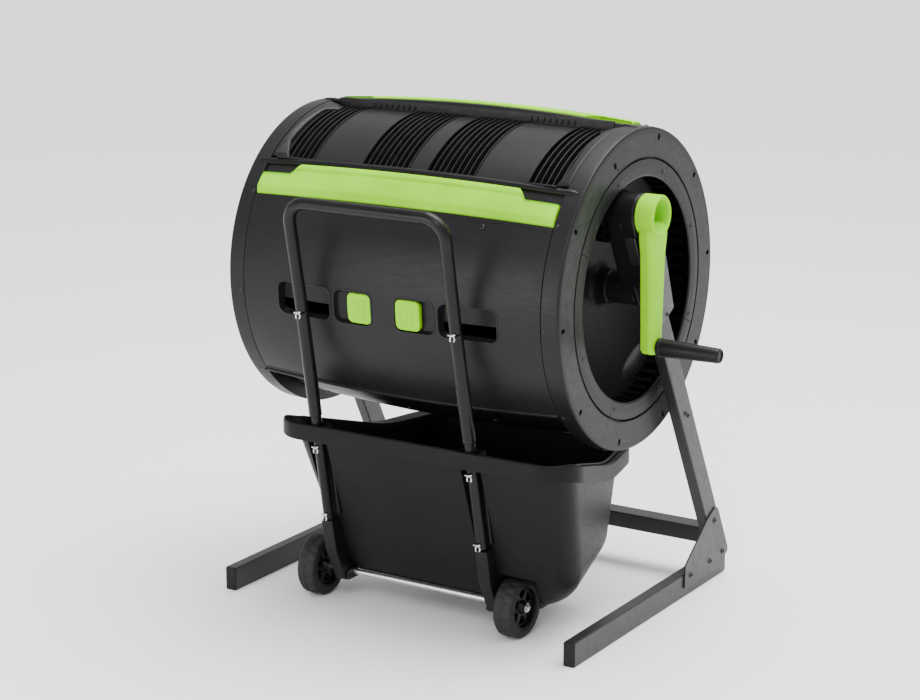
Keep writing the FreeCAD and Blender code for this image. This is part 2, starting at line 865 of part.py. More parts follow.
def stand():
    offset = size("foot_offset")
    wide = size("tube_wide")
    thick = size("plate_thick")
    outer = offset + wide / 2 + thick
    stubs = []
    for hand, side in (("left", -1), ("right", 1)):
        foot_tube(f"foot_tube_{hand}", side)
        leg_tube(f"leg_tube_{hand}", side)
        gusset_plate(f"gusset_plate_{hand}", side)
        leg_top_plate(f"leg_top_plate_{hand}", side)
        x0, x1 = sorted((side * 312.0, side * (outer + 4.0)))
        stub = new_body(f"axle_stub_{hand}")
        sketch = new_sketch(stub, "YZ_Plane", x0)
        circle(sketch, 0, 0, size("stub_radius"), "Sizes.stub_radius")
        pad(stub, sketch, x1 - x0)
        stubs.append(place(stub, on_axis=True))
    inner = offset - wide / 2
    bar = new_body("rear_crossbar")
    sketch = new_sketch(bar, "YZ_Plane")
    polygon(sketch, rectangle(285.0, 330.0, 77.0, 112.0))
    pad(bar, sketch, 2 * inner, middle=True)
    bore = new_sketch(bar, "YZ_Plane")
    polygon(bore, rectangle(287.0, 328.0, 79.0, 110.0))
    pocket(bar, bore)
    place(bar)
    caps = []
    tall = size("tube_tall")
    for side in (-1, 1):
        for y, depth in ((size("foot_front"), -3.0), (size("foot_rear"), 3.0)):
            low = min(y, y + depth)
            flange = Part.makeBox(wide, 3.0, tall, Vector(side * offset - wide / 2, low, 0))
            caps.append(flange)
    solid_feature("foot_end_caps", Part.makeCompound(caps))
    bolts = []
    for side in (-1, 1):
        for y, z in ((288.0, 132.0), (329.0, 52.0), (270.0, 47.0), (180.0, 43.0)):
            bolts.append(((side * outer, y, z), (side, 0, 0)))
    gusset_bolts = screw_group("gusset_bolts", bolts, 6.0, 3.0, on_axis=False)
    group("stand_bolts", [gusset_bolts, leg_screws()])
    group("axle_stubs", stubs)


def lean_point(along, across):
    """(y, z) on the line from the drum's axis to the crank's axis."""
    lean = math.radians(size("crank_lean"))
    y = -along * math.sin(lean) + across * math.cos(lean)
    z = along * math.cos(lean) + across * math.sin(lean)
    return y, z


def crank_housing():
    """Black teardrop casting on the leg's inner face: it holds the crank's shaft."""
    y, z = crank_axis()
    reach = math.hypot(y, z)
    start = size("housing_start")
    leg_inner = size("foot_offset") - size("tube_wide") / 2
    leg_outer = size("foot_offset") + size("tube_wide") / 2
    body = new_body("crank_housing")
    blade = new_sketch(body, "YZ_Plane", start, "Sizes.housing_start")
    waist = [
        lean_point(-20.0, -22.0),
        lean_point(45.0, -25.0),
        lean_point(reach - 40.0, -33.0),
        lean_point(reach + 10.0, -34.0),
        lean_point(reach + 10.0, 34.0),
        lean_point(reach - 40.0, 33.0),
        lean_point(-20.0, 26.0),
    ]
    rounded_polygon(blade, waist, 9.0)
    pad(body, blade, leg_inner - start)
    boss = new_sketch(body, "YZ_Plane", start, "Sizes.housing_start")
    circle(boss, y, z, size("housing_radius"), "Sizes.housing_radius")
    pad(body, boss, leg_outer + 1.0 - start)
    bore = new_sketch(body, "YZ_Plane", start)
    circle(bore, y, z, size("shaft_radius") + 0.06)
    circle(bore, 0, 0, size("stub_radius"), "Sizes.stub_radius")
    pocket(body, bore)
    hub_room = new_sketch(body, "YZ_Plane", start)
    circle(hub_room, 0, 0, size("hub_radius") + 1.5)
    pocket(body, hub_room, 2 * (386.0 - start))
    place(body, on_axis=True)


def leg_screws():
    """Screws through the leg under the crank, and through its top plates."""
    side_face = size("foot_offset") + size("tube_wide") / 2
    spots = []
    for side in (-1, 1):
        outward = (side, 0, 0)
        for along, across in ((315.0, -3.0), (325.0, 4.0)):
            y, z = leg_point(along, across)
            spots.append(((side * side_face, y, z), outward))
        for y, z in ((44.0, 628.0), (-14.0, 757.0)):
            spots.append(((side * (side_face + size("plate_thick")), y, z), outward))
    return screw_group("leg_screws", spots, 4.5, 2.0, on_axis=False)


# ---------------------------------------------------------------- crank


CUP_DEEP = 30.0
ARM_SETBACK = 3.0


def crank_arm():
    """Green hub and hanging arm of the crank."""
    y, z = crank_axis()
    start = size("foot_offset") + size("tube_wide") / 2 + 2.0
    end = start + size("crank_hub_depth")
    reach = size("crank_reach")
    body = new_body("crank_arm")
    hub = new_sketch(body, "YZ_Plane", start)
    circle(hub, y, z, size("crank_hub_radius"), "Sizes.crank_hub_radius")
    pad(body, hub, "Sizes.crank_hub_depth")
    cup = new_sketch(body, "YZ_Plane", end)
    circle(cup, y, z, size("crank_hub_radius") - 9.0)
    pocket(body, cup, CUP_DEEP, middle=False)
    arm = new_sketch(body, "YZ_Plane", start + 6.0)
    polygon(
        arm,
        [
            (y - 26.0, z - 32.0),
            (y - 17.0, z - reach - 8.0),
            (y - 10.0, z - reach - 16.0),
            (y + 10.0, z - reach - 16.0),
            (y + 17.0, z - reach - 8.0),
            (y + 26.0, z - 32.0),
        ],
    )
    pad(body, arm, size("crank_hub_depth") - 6.0 - ARM_SETBACK)
    bore = new_sketch(body, "YZ_Plane", start)
    circle(bore, y, z, size("shaft_radius") + 0.02)
    pocket(body, bore, 24.0)
    place(body, on_axis=True)
    return end


def crank_fittings(hub_end):
    """Steel shaft, its end bolt in the cup, the grip's pin and the turning grip."""
    y, z = crank_axis()
    shaft = new_body("crank_shaft")
    sketch = new_sketch(shaft, "YZ_Plane", size("gear_start") - 6.0)
    circle(sketch, y, z, size("shaft_radius"), "Sizes.shaft_radius")
    pad(shaft, sketch, hub_end - CUP_DEEP - size("gear_start"))
    place(shaft, on_axis=True)
    seat = hub_end - CUP_DEEP
    bolt = rod((seat, y, z), (seat + 6.0, y, z), 8.0)
    solid_feature("crank_bolt", bolt, on_axis=True)
    root = hub_end - ARM_SETBACK
    grip_z = z - size("crank_reach")
    length = size("grip_length")
    pin = new_body("grip_pin")
    sketch = new_sketch(pin, "YZ_Plane", root)
    circle(sketch, y, grip_z, size("pin_radius"), "Sizes.pin_radius")
    pad(pin, sketch, length - 8.0)
    place(pin, on_axis=True)
    cone = Part.makeCone(
        18.5, 14.5, length - 0.5, Vector(root + 0.5, y, grip_z), Vector(1, 0, 0)
    )
    bore = rod((root, y, grip_z), (root + length - 7.5, y, grip_z), size("pin_radius") + 0.06)
    solid_feature("crank_grip", cone.cut(bore), on_axis=True)


# ---------------------------------------------------------------- bin cart

HANDLE_TOP = 868.0
HANDLE_HALF = 178.0
HANDLE_CENTRE = 12.0
HANDLE_BEND = 42.0
JOIN_HEIGHT = 655.0
TUBE_FOOT = 60.0
TUBE_END = 166.0
TUBE_SPLAY = 6.0


def handle_y(height):
    """The handle's tubes lean forwards as they rise."""
    return -282.0 - 0.195 * (height - 196.0)


def handle_upper():
    """Inverted U of steel tube."""
    radius = size("cart_tube_radius")
    bend = HANDLE_BEND

    def at(x, height):
        return Vector(HANDLE_CENTRE + x, handle_y(height), height)

    low = JOIN_HEIGHT - 30.0
    turn = bend * (1 - math.sin(math.radians(45)))
    edges = [
        Part.LineSegment(at(-HANDLE_HALF, low), at(-HANDLE_HALF, HANDLE_TOP - bend)),
        Part.Arc(
            at(-HANDLE_HALF, HANDLE_TOP - bend),
            at(-HANDLE_HALF + turn, HANDLE_TOP - turn),
            at(-HANDLE_HALF + bend, HANDLE_TOP),
        ),
        Part.LineSegment(
            at(-HANDLE_HALF + bend, HANDLE_TOP), at(HANDLE_HALF - bend, HANDLE_TOP)
        ),
        Part.Arc(
            at(HANDLE_HALF - bend, HANDLE_TOP),
            at(HANDLE_HALF - turn, HANDLE_TOP - turn),
            at(HANDLE_HALF, HANDLE_TOP - bend),
        ),
        Part.LineSegment(at(HANDLE_HALF, HANDLE_TOP - bend), at(HANDLE_HALF, low)),
    ]
    path = Part.Wire([edge.toShape() for edge in edges])
    along = at(0, HANDLE_TOP) - at(0, low)
    pipes = []
    for ring_radius in (radius, radius - 1.0):
        ring = Part.Wire(Part.Circle(at(-HANDLE_HALF, low), along, ring_radius).toShape())
        pipes.append(path.makePipeShell([ring], True, True))
    solid_feature("cart_handle", pipes[0].cut(pipes[1]))


def lower_tubes():
    """Slimmer tubes that slip into the handle and run down to the axle."""
    radius = size("cart_tube_radius") - 1.5
    for hand, side in (("left", -1), ("right", 1)):
        start, end, outer = tube_line(side, radius)
        solid_feature(f"lower_tube_{hand}", tube(start, end, outer, 1.5))


def bin_outline(share, grow=0.0, front_grow=None):
    """Plan of the bin: share is 0 at its floor and 1 at its mouth; grow moves it out."""
    centre = size("bin_centre")
    if front_grow is None:
        front_grow = grow
    drop = 1.0 - share
    front = size("bin_front") + 116.0 * drop - front_grow
    rear = size("bin_rear") - 44.0 * drop + grow
    front_half = size("bin_front_half") - 41.0 * drop + grow
    rear_half = size("bin_rear_half") - 22.0 * drop + grow
    return [
        (centre - front_half, front),
        (centre + front_half, front),
        (centre + rear_half, rear),
        (centre - rear_half, rear),
    ]


BIN_CORNER = 52.0
RIM_LEFT_REACH = 20.0


def rim_prism(grow, low, high):
    """Upright prism on the rim's plan; the lip stands out less along the front."""
    outline = bin_outline(1.0, grow, min(grow, grow - size("rim_overhang") + 4.0))
    if grow > 0:
        reach = RIM_LEFT_REACH
        outline[0] = (outline[0][0] - reach, outline[0][1])
        outline[3] = (outline[3][0] - reach, outline[3][1])
    edges = [edge.toShape() for edge in rounded_edges(outline, BIN_CORNER + grow)]
    face = Part.Face(Part.Wire(edges))
    face.translate(Vector(0, 0, low))
    return face.extrude(Vector(0, 0, high - low))


RIM_FLANGE = 5.0
SADDLE_RADIUS = 350.0
SADDLE_SLOPE = 15.8


def under_saddle(drop):
    """Everything below the rim's line: level in front, then sloping to pass the drum."""
    axle = size("axis_height") - drop
    top = size("bin_top") - drop
    slope = math.radians(SADDLE_SLOPE)

    def on_saddle(angle):
        return Vector(0, -SADDLE_RADIUS * math.sin(angle), axle - SADDLE_RADIUS * math.cos(angle))

    turn = on_saddle(slope)
    bottom = on_saddle(0.0)
    start = Vector(0, turn.y - (top - turn.z) / math.tan(slope), top)
    reach = 400.0
    edges = [
        Part.LineSegment(Vector(0, -reach, 0), Vector(0, -reach, top)),
        Part.LineSegment(Vector(0, -reach, top), start),
        Part.LineSegment(start, turn),
        Part.Arc(turn, on_saddle(slope / 2), bottom),
        Part.LineSegment(bottom, Vector(0, reach, bottom.z)),
        Part.LineSegment(Vector(0, reach, bottom.z), Vector(0, reach, 0)),
        Part.LineSegment(Vector(0, reach, 0), Vector(0, -reach, 0)),
    ]
    face = Part.Face(Part.Wire([edge.toShape() for edge in edges]))
    face.translate(Vector(-600, 0, 0))
    return face.extrude(Vector(1200, 0, 0))


def bin_shell(grow, low, high):
    """Tapered solid between the bin's floor plan and its mouth plan."""
    wires = []
    for share, height in ((0.0, low), (1.0, high)):
        edges = rounded_edges(bin_outline(share, grow), BIN_CORNER + grow)
        wire = Part.Wire([edge.toShape() for edge in edges])
        wire.translate(Vector(0, 0, height))
        wires.append(wire)
    return Part.makeLoft(wires, True, True)


CHANNEL_HALF = 23.0
ARCH_OUTER = 62.0


def tube_channel(grow):
    """Room for one handle tube in the bin's front wall, leaning with the tube."""
    prisms = []
    deep = size("cart_tube_radius") + 4.0 + grow
    low = 40.0
    high = size("bin_top") + 30.0
    for side in (-1, 1):
        points = [
            Vector(0, handle_y(low) - 60.0, low),
            Vector(0, handle_y(low) + deep, low),
            Vector(0, handle_y(high) + deep, high),
            Vector(0, handle_y(high) - 60.0, high),
        ]
        face = Part.Face(Part.makePolygon(points + points[:1]))
        half = CHANNEL_HALF + grow
        middle = HANDLE_CENTRE + side * (HANDLE_HALF + 3.0)
        face.translate(Vector(middle - half, 0, 0))
        prisms.append(face.extrude(Vector(2 * half, 0, 0)))
    return prisms


def bin_tub():
    """The bin itself: tapered, open on top, with an arch over each wheel."""
    wall = size("bin_wall")
    corner_low = size("bin_floor")
    high = size("bin_top")
    outer = bin_shell(0.0, corner_low, high)
    inner = bin_shell(-wall, corner_low + wall, high + 1.0)
    round_low = 40.0
    rounder = []
    for edge in outer.Edges:
        if abs(edge.BoundBox.ZMax - corner_low) < 0.01:
            rounder.append(edge)
    outer = outer.makeFillet(round_low, rounder)
    floor_edges = []
    for edge in inner.Edges:
        if abs(edge.BoundBox.ZMax - corner_low - wall) < 0.01:
            floor_edges.append(edge)
    inner = inner.makeFillet(round_low - wall, floor_edges)
    wheel = size("wheel_radius")
    y = size("wheel_y")
    for side in (-1, 1):
        for clearance, target in ((8.0, "outer"), (8.0 + wall, "inner")):
            reach = wheel + clearance
            near = size("wheel_offset") - size("wheel_width") / 2 - clearance
            far = size("wheel_offset") + ARCH_OUTER + clearance - 8.0
            left = min(side * near, side * far)
            arch = Part.makeCylinder(reach, far - near, Vector(left, y, wheel), Vector(1, 0, 0))
            skirt = Part.makeBox(far - near, 2 * reach, wheel, Vector(left, y - reach, 0))
            room = arch.fuse(skirt)
            if target == "outer":
                outer = outer.cut(room)
            else:
                inner = inner.cut(room)
    for room in tube_channel(0.0):
        outer = outer.cut(room)
    for room in tube_channel(wall):
        inner = inner.cut(room)
    shell = outer.cut(inner).common(under_saddle(RIM_FLANGE + 0.2))
    solid_feature("bin_tub", shell)


def tube_x(side, height):
    """The lower tubes splay out a little from the handle's joint down to the axle."""
    share = (JOIN_HEIGHT - 5.0 - height) / (JOIN_HEIGHT - 5.0 - TUBE_FOOT)
    return HANDLE_CENTRE + side * (HANDLE_HALF + TUBE_SPLAY * share)


def tube_line(side, radius):
    """The straight run of one handle tube, from its socket to above the joint."""
    top = JOIN_HEIGHT + 20.0
    start = (tube_x(side, TUBE_END), handle_y(TUBE_END), TUBE_END)
    return start, (tube_x(side, top), handle_y(top), top), radius


def bin_rim():
    """Down-turned lip all round the bin's mouth."""
    over = size("rim_overhang")
    tall = size("rim_tall")
    high = size("bin_top") + 10.0
    ring = rim_prism(over, 200.0, high).cut(rim_prism(over - 3.2, 199.0, high + 1))
    skirt = ring.common(under_saddle(0.0)).cut(under_saddle(tall))
    ring = rim_prism(over, 200.0, high).cut(rim_prism(-6.0, 199.0, high + 1))
    flange = ring.common(under_saddle(0.0)).cut(under_saddle(RIM_FLANGE))
    rim = skirt.fuse(flange)
    for side in (-1, 1):
        rim = rim.cut(rod(*tube_line(side, size("cart_tube_radius") - 1.5)))
    solid_feature("bin_rim", rim)


PILLAR_WIDE = 27.0
PILLAR_TOP = 190.0
PILLAR_LOW = 48.0


def pillar_middle(side):
    return HANDLE_CENTRE + side * (HANDLE_HALF + 6.0)


def front_wall_y(height):
    """The outer face of the bin's sloping front wall."""
    share = (height - size("bin_floor")) / (size("bin_top") - size("bin_floor"))
    return bin_outline(share)[0][1]


def tube_mounts():
    """Upper saddles, and the pillars that hold the tubes' feet and the axle."""
    radius = size("cart_tube_radius") - 1.5
    low = size("bin_top") - 36.0
    high = size("bin_top") - 6.0
    y = size("wheel_y")
    wheel = size("wheel_radius")
    under = size("bin_floor") - 0.6
    blocks = []
    for side in (-1, 1):
        near = handle_y((low + high) / 2) - 9.0
        deep = size("cart_tube_radius") + 8.5
        middle = HANDLE_CENTRE + side * (HANDLE_HALF + 3.0)
        left = middle - CHANNEL_HALF + 0.5
        saddle = Part.makeBox(
            2 * CHANNEL_HALF - 1.0, deep, high - low, Vector(left, near, low)
        )
        outline = [
            (handle_y(PILLAR_TOP) - 9.0, PILLAR_TOP),
            (handle_y(100.0) - 7.0, 100.0),
            (y - 24.0, PILLAR_LOW),
            (y + 14.0, PILLAR_LOW),
            (y + 14.0, under),
            (front_wall_y(under) - 0.4, under),
            (front_wall_y(PILLAR_TOP) - 0.4, PILLAR_TOP),
        ]
        left = pillar_middle(side) - PILLAR_WIDE / 2
        points = [Vector(left, at_y, height) for at_y, height in outline]
        face = Part.Face(Part.makePolygon(points + points[:1]))
        pillar = face.extrude(Vector(PILLAR_WIDE, 0, 0))
        pillar = pillar.cut(rod((-400, y, wheel), (400, y, wheel), size("axle_radius")))
        for block in (saddle, pillar):
            blocks.append(block.cut(rod(*tube_line(side, radius))))
    solid_feature("tube_mounts", Part.makeCompound(blocks))


def cart_running_gear():
    """Axle, its brackets and caps, and the two wheels."""
    wheel = size("wheel_radius")
    offset = size("wheel_offset")
    y = size("wheel_y")
    half = size("wheel_width") / 2
    axle_half = offset + half + 4.0
    axle = new_body("cart_axle")
    sketch = new_sketch(axle, "YZ_Plane")
    circle(sketch, y, wheel, size("axle_radius"), "Sizes.axle_radius")
    pad(axle, sketch, 2 * axle_half, middle=True)
    place(axle)
    caps = []
    brackets = []
    for hand, side in (("left", -1), ("right", 1)):
        hole = (y, wheel, size("axle_radius"))
        low = wheel - 14.0
        high = size("bin_floor") - 0.8
        middle = pillar_middle(side) - side * (PILLAR_WIDE / 2 + 2.2)
        brackets.append(
            extruded(
                f"axle_bracket_{hand}",
                "YZ_Plane",
                rectangle(y - 22.0, y + 14.0, low, high),
                middle - 2.0,
                4.0,
                3.0,
                holes=[hole],
            )
        )
        tyre = new_body(f"tyre_{hand}")
        sketch = new_sketch(tyre, "XZ_Plane")
        tread = 9.0
        polygon(
            sketch,
            [
                (-half, 46.0),
                (-half, wheel - tread),
                (-half + 3.0, wheel - 3.0),
                (-half + tread, wheel),
                (half - tread, wheel),
                (half - 3.0, wheel - 3.0),
                (half, wheel - tread),
                (half, 46.0),
            ],
        )
        revolve(tyre, sketch)
        hub = new_body(f"wheel_{hand}")
        sketch = new_sketch(hub, "XZ_Plane")
        polygon(
            sketch,
            [
                (-half + 1.0, 45.9),
                (-half + 1.0, 40.0),
                (-5.0, 38.0),
                (-5.0, 16.0),
                (-half, 14.0),
                (-half, size("axle_radius") + 0.06),
                (half, size("axle_radius") + 0.06),
                (half, 14.0),
                (5.0, 16.0),
                (5.0, 38.0),
                (half - 1.0, 40.0),
                (half - 1.0, 45.9),
            ],
        )
        revolve(hub, sketch)
        windows = new_sketch(hub, "YZ_Plane")
        for spoke in range(6):
            turn = math.radians(60.0 * spoke + 30.0)
            points = []
            for radius, spread in ((18.0, 10.0), (36.0, 21.0)):
                for sign in (-1, 1):
                    at = turn + sign * math.radians(spread)
                    points.append((radius * math.cos(at), radius * math.sin(at)))
            polygon(windows, [points[0], points[1], points[3], points[2]])
        pocket(hub, windows)
        for piece in (tyre, hub):
            place(piece)
            piece.setExpression(
                ".Placement.Base.x", f"Sizes.shift_x + {side} * Sizes.wheel_offset"
            )
            piece.setExpression(".Placement.Base.y", "Sizes.shift_y + Sizes.wheel_y")
            piece.setExpression(".Placement.Base.z", "Sizes.wheel_radius")
        cap_start = side * (axle_half - 3.4)
        caps.append(
            Part.makeCylinder(10.0, 1.4, Vector(cap_start, y, wheel), Vector(side, 0, 0))
        )
        caps.append(
            Part.makeCylinder(
                7.5, 6.0, Vector(cap_start + side * 1.4, y, wheel), Vector(side, 0, 0)
            )
        )
    group("axle_brackets", brackets)
    bore = rod((-400, y, wheel), (400, y, wheel), size("axle_radius"))
    solid_feature("axle_caps", Part.makeCompound([cap.cut(bore) for cap in caps]))


def retaining_clips():
    """Wire clips through the tubes at the sleeves, the clamps and the handle's joints."""
    clips = []
    for side in (-1, 1):
        for height in (352.0, 204.0, JOIN_HEIGHT - 12.0):
            y = handle_y(height) - size("cart_tube_radius")
            centre = Vector(tube_x(side, height), y - 4.4, height)
            ring = Part.makeTorus(6.0, 1.3, centre, Vector(0.2, 1, 0.3))
            clips.append(ring)
    solid_feature("retaining_clips", Part.makeCompound(clips))


# ---------------------------------------------------------------- build

bushes = []
end_frames = []
for hand, side in (("left", -1), ("right", 1)):
    end_ring(f"end_ring_{hand}", side)
    end_dish(f"end_dish_{hand}", side)
    ring_cover(f"ring_cover_{hand}", side)
    bushes.append(hub_bush(f"hub_bush_{hand}", side))
    end_frames.append(vent_end_frame(f"vent_end_frame_{hand}", side))
group("hub_bushes", bushes)
group("vent_end_frames", end_frames)
end_screws()
ring_gear()
pinion_gear()
for side in ("front", "rear"):
    lower_panel(side)
    group(f"door_{side}", [door(side), door_lip(side)])
    trays = [latch_tray(side, hand) for hand in ("left", "right")]
    group(f"latch_trays_{side}", trays)
    for hand in ("left", "right"):
        latch_grip(side, hand)
vent_panel()
rails = []
beds = []
for side, toward in (("front", -1), ("rear", 1)):
    rails.append(joiner_rail(f"joiner_rail_{side}", toward * RAIL_OFFSET))
    beds.append(strip_bed(f"strip_bed_{side}", toward * STRIP_OFFSET))
    grab_strip(f"grab_strip_{side}", toward * STRIP_OFFSET)
group("joiner_rails", rails)
group("strip_beds", beds)
divider()
scoops = [
    dish_scoop("dish_scoop_upper", VENT_ANGLE + SCOOP_SHIFT),
    dish_scoop("dish_scoop_lower", VENT_ANGLE + 180.0 + SCOOP_SHIFT),
]
group("dish_scoops", scoops)
stand()
crank_housing()
crank_fittings(crank_arm())
handle_upper()
lower_tubes()
bin_tub()
bin_rim()
tube_mounts()
cart_running_gear()
retaining_clips()

doc.recompute()
for item in doc.Objects:
    if "Invalid" in item.State or "Error" in item.State:
        raise RuntimeError(f"{item.Label} failed: {item.State}")
os.makedirs("parts", exist_ok=True)
lows = [1e9, 1e9, 1e9]
highs = [-1e9, -1e9, -1e9]
for piece in PARTS:
    shape = piece.Shape
    if shape.isNull() or not shape.isValid():
        raise RuntimeError(f"{piece.Label} has a bad shape")
    shape.exportStep(f"parts/{piece.Label}.step")
    box = shape.BoundBox
    print(piece.Label, round(shape.Volume / 1000, 1), "cm3", len(shape.Solids))
    lows = [min(a, b) for a, b in zip(lows, (box.XMin, box.YMin, box.ZMin))]
    highs = [max(a, b) for a, b in zip(highs, (box.XMax, box.YMax, box.ZMax))]
print("bounds", [round(v, 2) for v in lows], [round(v, 2) for v in highs])
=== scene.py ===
import math

import bmesh
import bpy
from mathutils import Matrix, Vector, noise
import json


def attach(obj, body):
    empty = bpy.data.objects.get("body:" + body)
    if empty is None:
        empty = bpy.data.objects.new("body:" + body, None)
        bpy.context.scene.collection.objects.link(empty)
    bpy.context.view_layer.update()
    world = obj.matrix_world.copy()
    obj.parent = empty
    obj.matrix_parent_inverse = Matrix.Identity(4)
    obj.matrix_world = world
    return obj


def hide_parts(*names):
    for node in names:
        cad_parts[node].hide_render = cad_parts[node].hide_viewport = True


# A geared compost tumbler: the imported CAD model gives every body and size, and this script
# adds the moulded detail. Shapes are drawn in millimetres in the drum's own frame (origin on
# the floor under the middle of the drum) and turned into metres of the CAD's frame by spot().

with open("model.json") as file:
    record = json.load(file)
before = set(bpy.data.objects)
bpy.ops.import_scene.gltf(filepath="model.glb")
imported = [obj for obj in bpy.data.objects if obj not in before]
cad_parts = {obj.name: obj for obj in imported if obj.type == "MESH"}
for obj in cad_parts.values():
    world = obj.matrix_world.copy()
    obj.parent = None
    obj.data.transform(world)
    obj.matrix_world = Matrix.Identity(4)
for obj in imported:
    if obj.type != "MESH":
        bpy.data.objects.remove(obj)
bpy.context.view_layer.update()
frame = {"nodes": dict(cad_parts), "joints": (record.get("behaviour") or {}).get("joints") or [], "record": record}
nodes = frame["nodes"]
joints = {joint["name"]: joint for joint in frame["joints"]}

METRES = 0.001
DRUM_AXIS = [value / METRES for value in joints["drum_spin"]["pos_m"]]
CRANK_AXIS = [value / METRES for value in joints["crank_spin"]["pos_m"]]
GRIP_AXIS = [value / METRES for value in joints["grip_spin"]["pos_m"]]
WHEEL_AXIS = [value / METRES for value in joints["right_wheel_spin"]["pos_m"]]
SHIFT_X = DRUM_AXIS[0]
SHIFT_Y = DRUM_AXIS[1]
AXIS_Z = DRUM_AXIS[2]
CRANK_Y = CRANK_AXIS[1] - SHIFT_Y
CRANK_Z = CRANK_AXIS[2]
GRIP_Z = GRIP_AXIS[2]
WHEEL_Y = WHEEL_AXIS[1] - SHIFT_Y
WHEEL_Z = WHEEL_AXIS[2]
WHEEL_X = WHEEL_AXIS[0] - SHIFT_X


def spot(x, y, z):
    """A point in the drum's frame in millimetres, as a place in the CAD's frame."""
    return Vector((x + SHIFT_X, y + SHIFT_Y, z)) * METRES


def round_drum(x, radius, angle):
    """A point on the drum; angle is in degrees from the front (-Y) up towards the top."""
    turn = math.radians(angle)
    return spot(x, -radius * math.cos(turn), AXIS_Z + radius * math.sin(turn))


def blend_between(low, high, value):
    """0 below low, 1 above high, smooth between."""
    share = min(1.0, max(0.0, (value - low) / (high - low)))
    return share * share * (3 - 2 * share)


# ------------------------------------------------------------------ materials


class Nodes:
    """Small wrapper that makes a material's node tree shorter to write."""

    def __init__(self, name):
        self.material = bpy.data.materials.new(name)
        self.material.use_nodes = True
        self.tree = self.material.node_tree
        self.shader = self.tree.nodes["Principled BSDF"]
        self.coords = self.add("ShaderNodeTexCoord").outputs["Object"]

    def add(self, kind, **values):
        node = self.tree.nodes.new(kind)
        for key, value in values.items():
            setattr(node, key, value)
        return node

    def join(self, source, target):
        self.tree.links.new(source, target)

    def noise(self, scale, detail=3.0, roughness=0.5, stretch=None):
        node = self.add("ShaderNodeTexNoise")
        node.inputs["Scale"].default_value = scale
        node.inputs["Detail"].default_value = detail
        node.inputs["Roughness"].default_value = roughness
        if stretch:
            mapping = self.add("ShaderNodeMapping")
            mapping.inputs["Scale"].default_value = stretch
            self.join(self.coords, mapping.inputs["Vector"])
            self.join(mapping.outputs["Vector"], node.inputs["Vector"])
        else:
            self.join(self.coords, node.inputs["Vector"])
        return node.outputs["Fac"]

    def ramp(self, factor, low, high, from_low=0.3, from_high=0.7):
        """Map a 0-1 factor to a range of values."""
        node = self.add("ShaderNodeMapRange")
        node.inputs["From Min"].default_value = from_low
        node.inputs["From Max"].default_value = from_high
        node.inputs["To Min"].default_value = low
        node.inputs["To Max"].default_value = high
        self.join(factor, node.inputs["Value"])
        return node.outputs["Result"]

    def mix(self, factor, first, second):
        node = self.add("ShaderNodeMix", data_type="RGBA")
        self.join(factor, node.inputs["Factor"])
        for socket, value in ((node.inputs["A"], first), (node.inputs["B"], second)):
            if isinstance(value, bpy.types.NodeSocket):
                self.join(value, socket)
            else:
                socket.default_value = (*value, 1.0)
        return node.outputs["Result"]

    def bump(self, height, distance, strength=1.0, normal=None):
        node = self.add("ShaderNodeBump")
        node.inputs["Strength"].default_value = strength
        node.inputs["Distance"].default_value = distance
        self.join(height, node.inputs["Height"])
        if normal:
            self.join(normal, node.inputs["Normal"])
        return node.outputs["Normal"]


def moulded_plastic(name, colour, rough, grain=900.0, depth=0.00005, sheen=0.5, wear=None):
    """Injection-moulded plastic: fine spark texture, cloudy gloss and paler rubbed edges."""
    n = Nodes(name)
    cloudy = n.noise(9.0, 4.0, 0.55)
    darker = tuple(0.86 * value for value in colour)
    lighter = tuple(min(1.0, 1.12 * value) for value in colour)
    tint = n.mix(n.ramp(cloudy, 0.0, 1.0), darker, lighter)
    if wear:
        edges = n.add("ShaderNodeNewGeometry").outputs["Pointiness"]
        scuffs = n.noise(55.0, 5.0, 0.7)
        mask = n.add("ShaderNodeMath", operation="MULTIPLY")
        n.join(n.ramp(edges, 0.0, 0.8, 0.52, 0.62), mask.inputs[0])
        n.join(n.ramp(scuffs, 0.0, 1.0, 0.35, 0.65), mask.inputs[1])
        tint = n.mix(mask.outputs["Value"], tint, wear)
    n.join(tint, n.shader.inputs["Base Color"])
    streaks = n.noise(30.0, 3.0, 0.5, (1.0, 6.0, 6.0))
    n.join(n.ramp(streaks, rough - 0.05, rough + 0.07), n.shader.inputs["Roughness"])
    n.shader.inputs["Specular IOR Level"].default_value = sheen
    fine = n.bump(n.noise(grain, 2.0, 0.6), depth, 0.7)
    wavy = n.bump(n.noise(6.0, 2.0, 0.4), 0.0008, 0.18, fine)
    n.join(wavy, n.shader.inputs["Normal"])
    return n.material


def powder_coat(name, colour, rough, sheen=0.5, peel_share=0.55):
    """Powder-coated steel: a fine orange-peel skin over the tube."""
    n = Nodes(name)
    cloudy = n.noise(14.0, 3.0, 0.5)
    darker = tuple(0.8 * value for value in colour)
    lighter = tuple(1.25 * value for value in colour)
    n.join(n.mix(n.ramp(cloudy, 0.0, 1.0), darker, lighter), n.shader.inputs["Base Color"])
    n.join(n.ramp(n.noise(60.0), rough - 0.05, rough + 0.06), n.shader.inputs["Roughness"])
    n.shader.inputs["Specular IOR Level"].default_value = sheen
    peel = n.bump(n.noise(420.0, 2.0, 0.5), 0.00012, peel_share)
    n.join(peel, n.shader.inputs["Normal"])
    return n.material


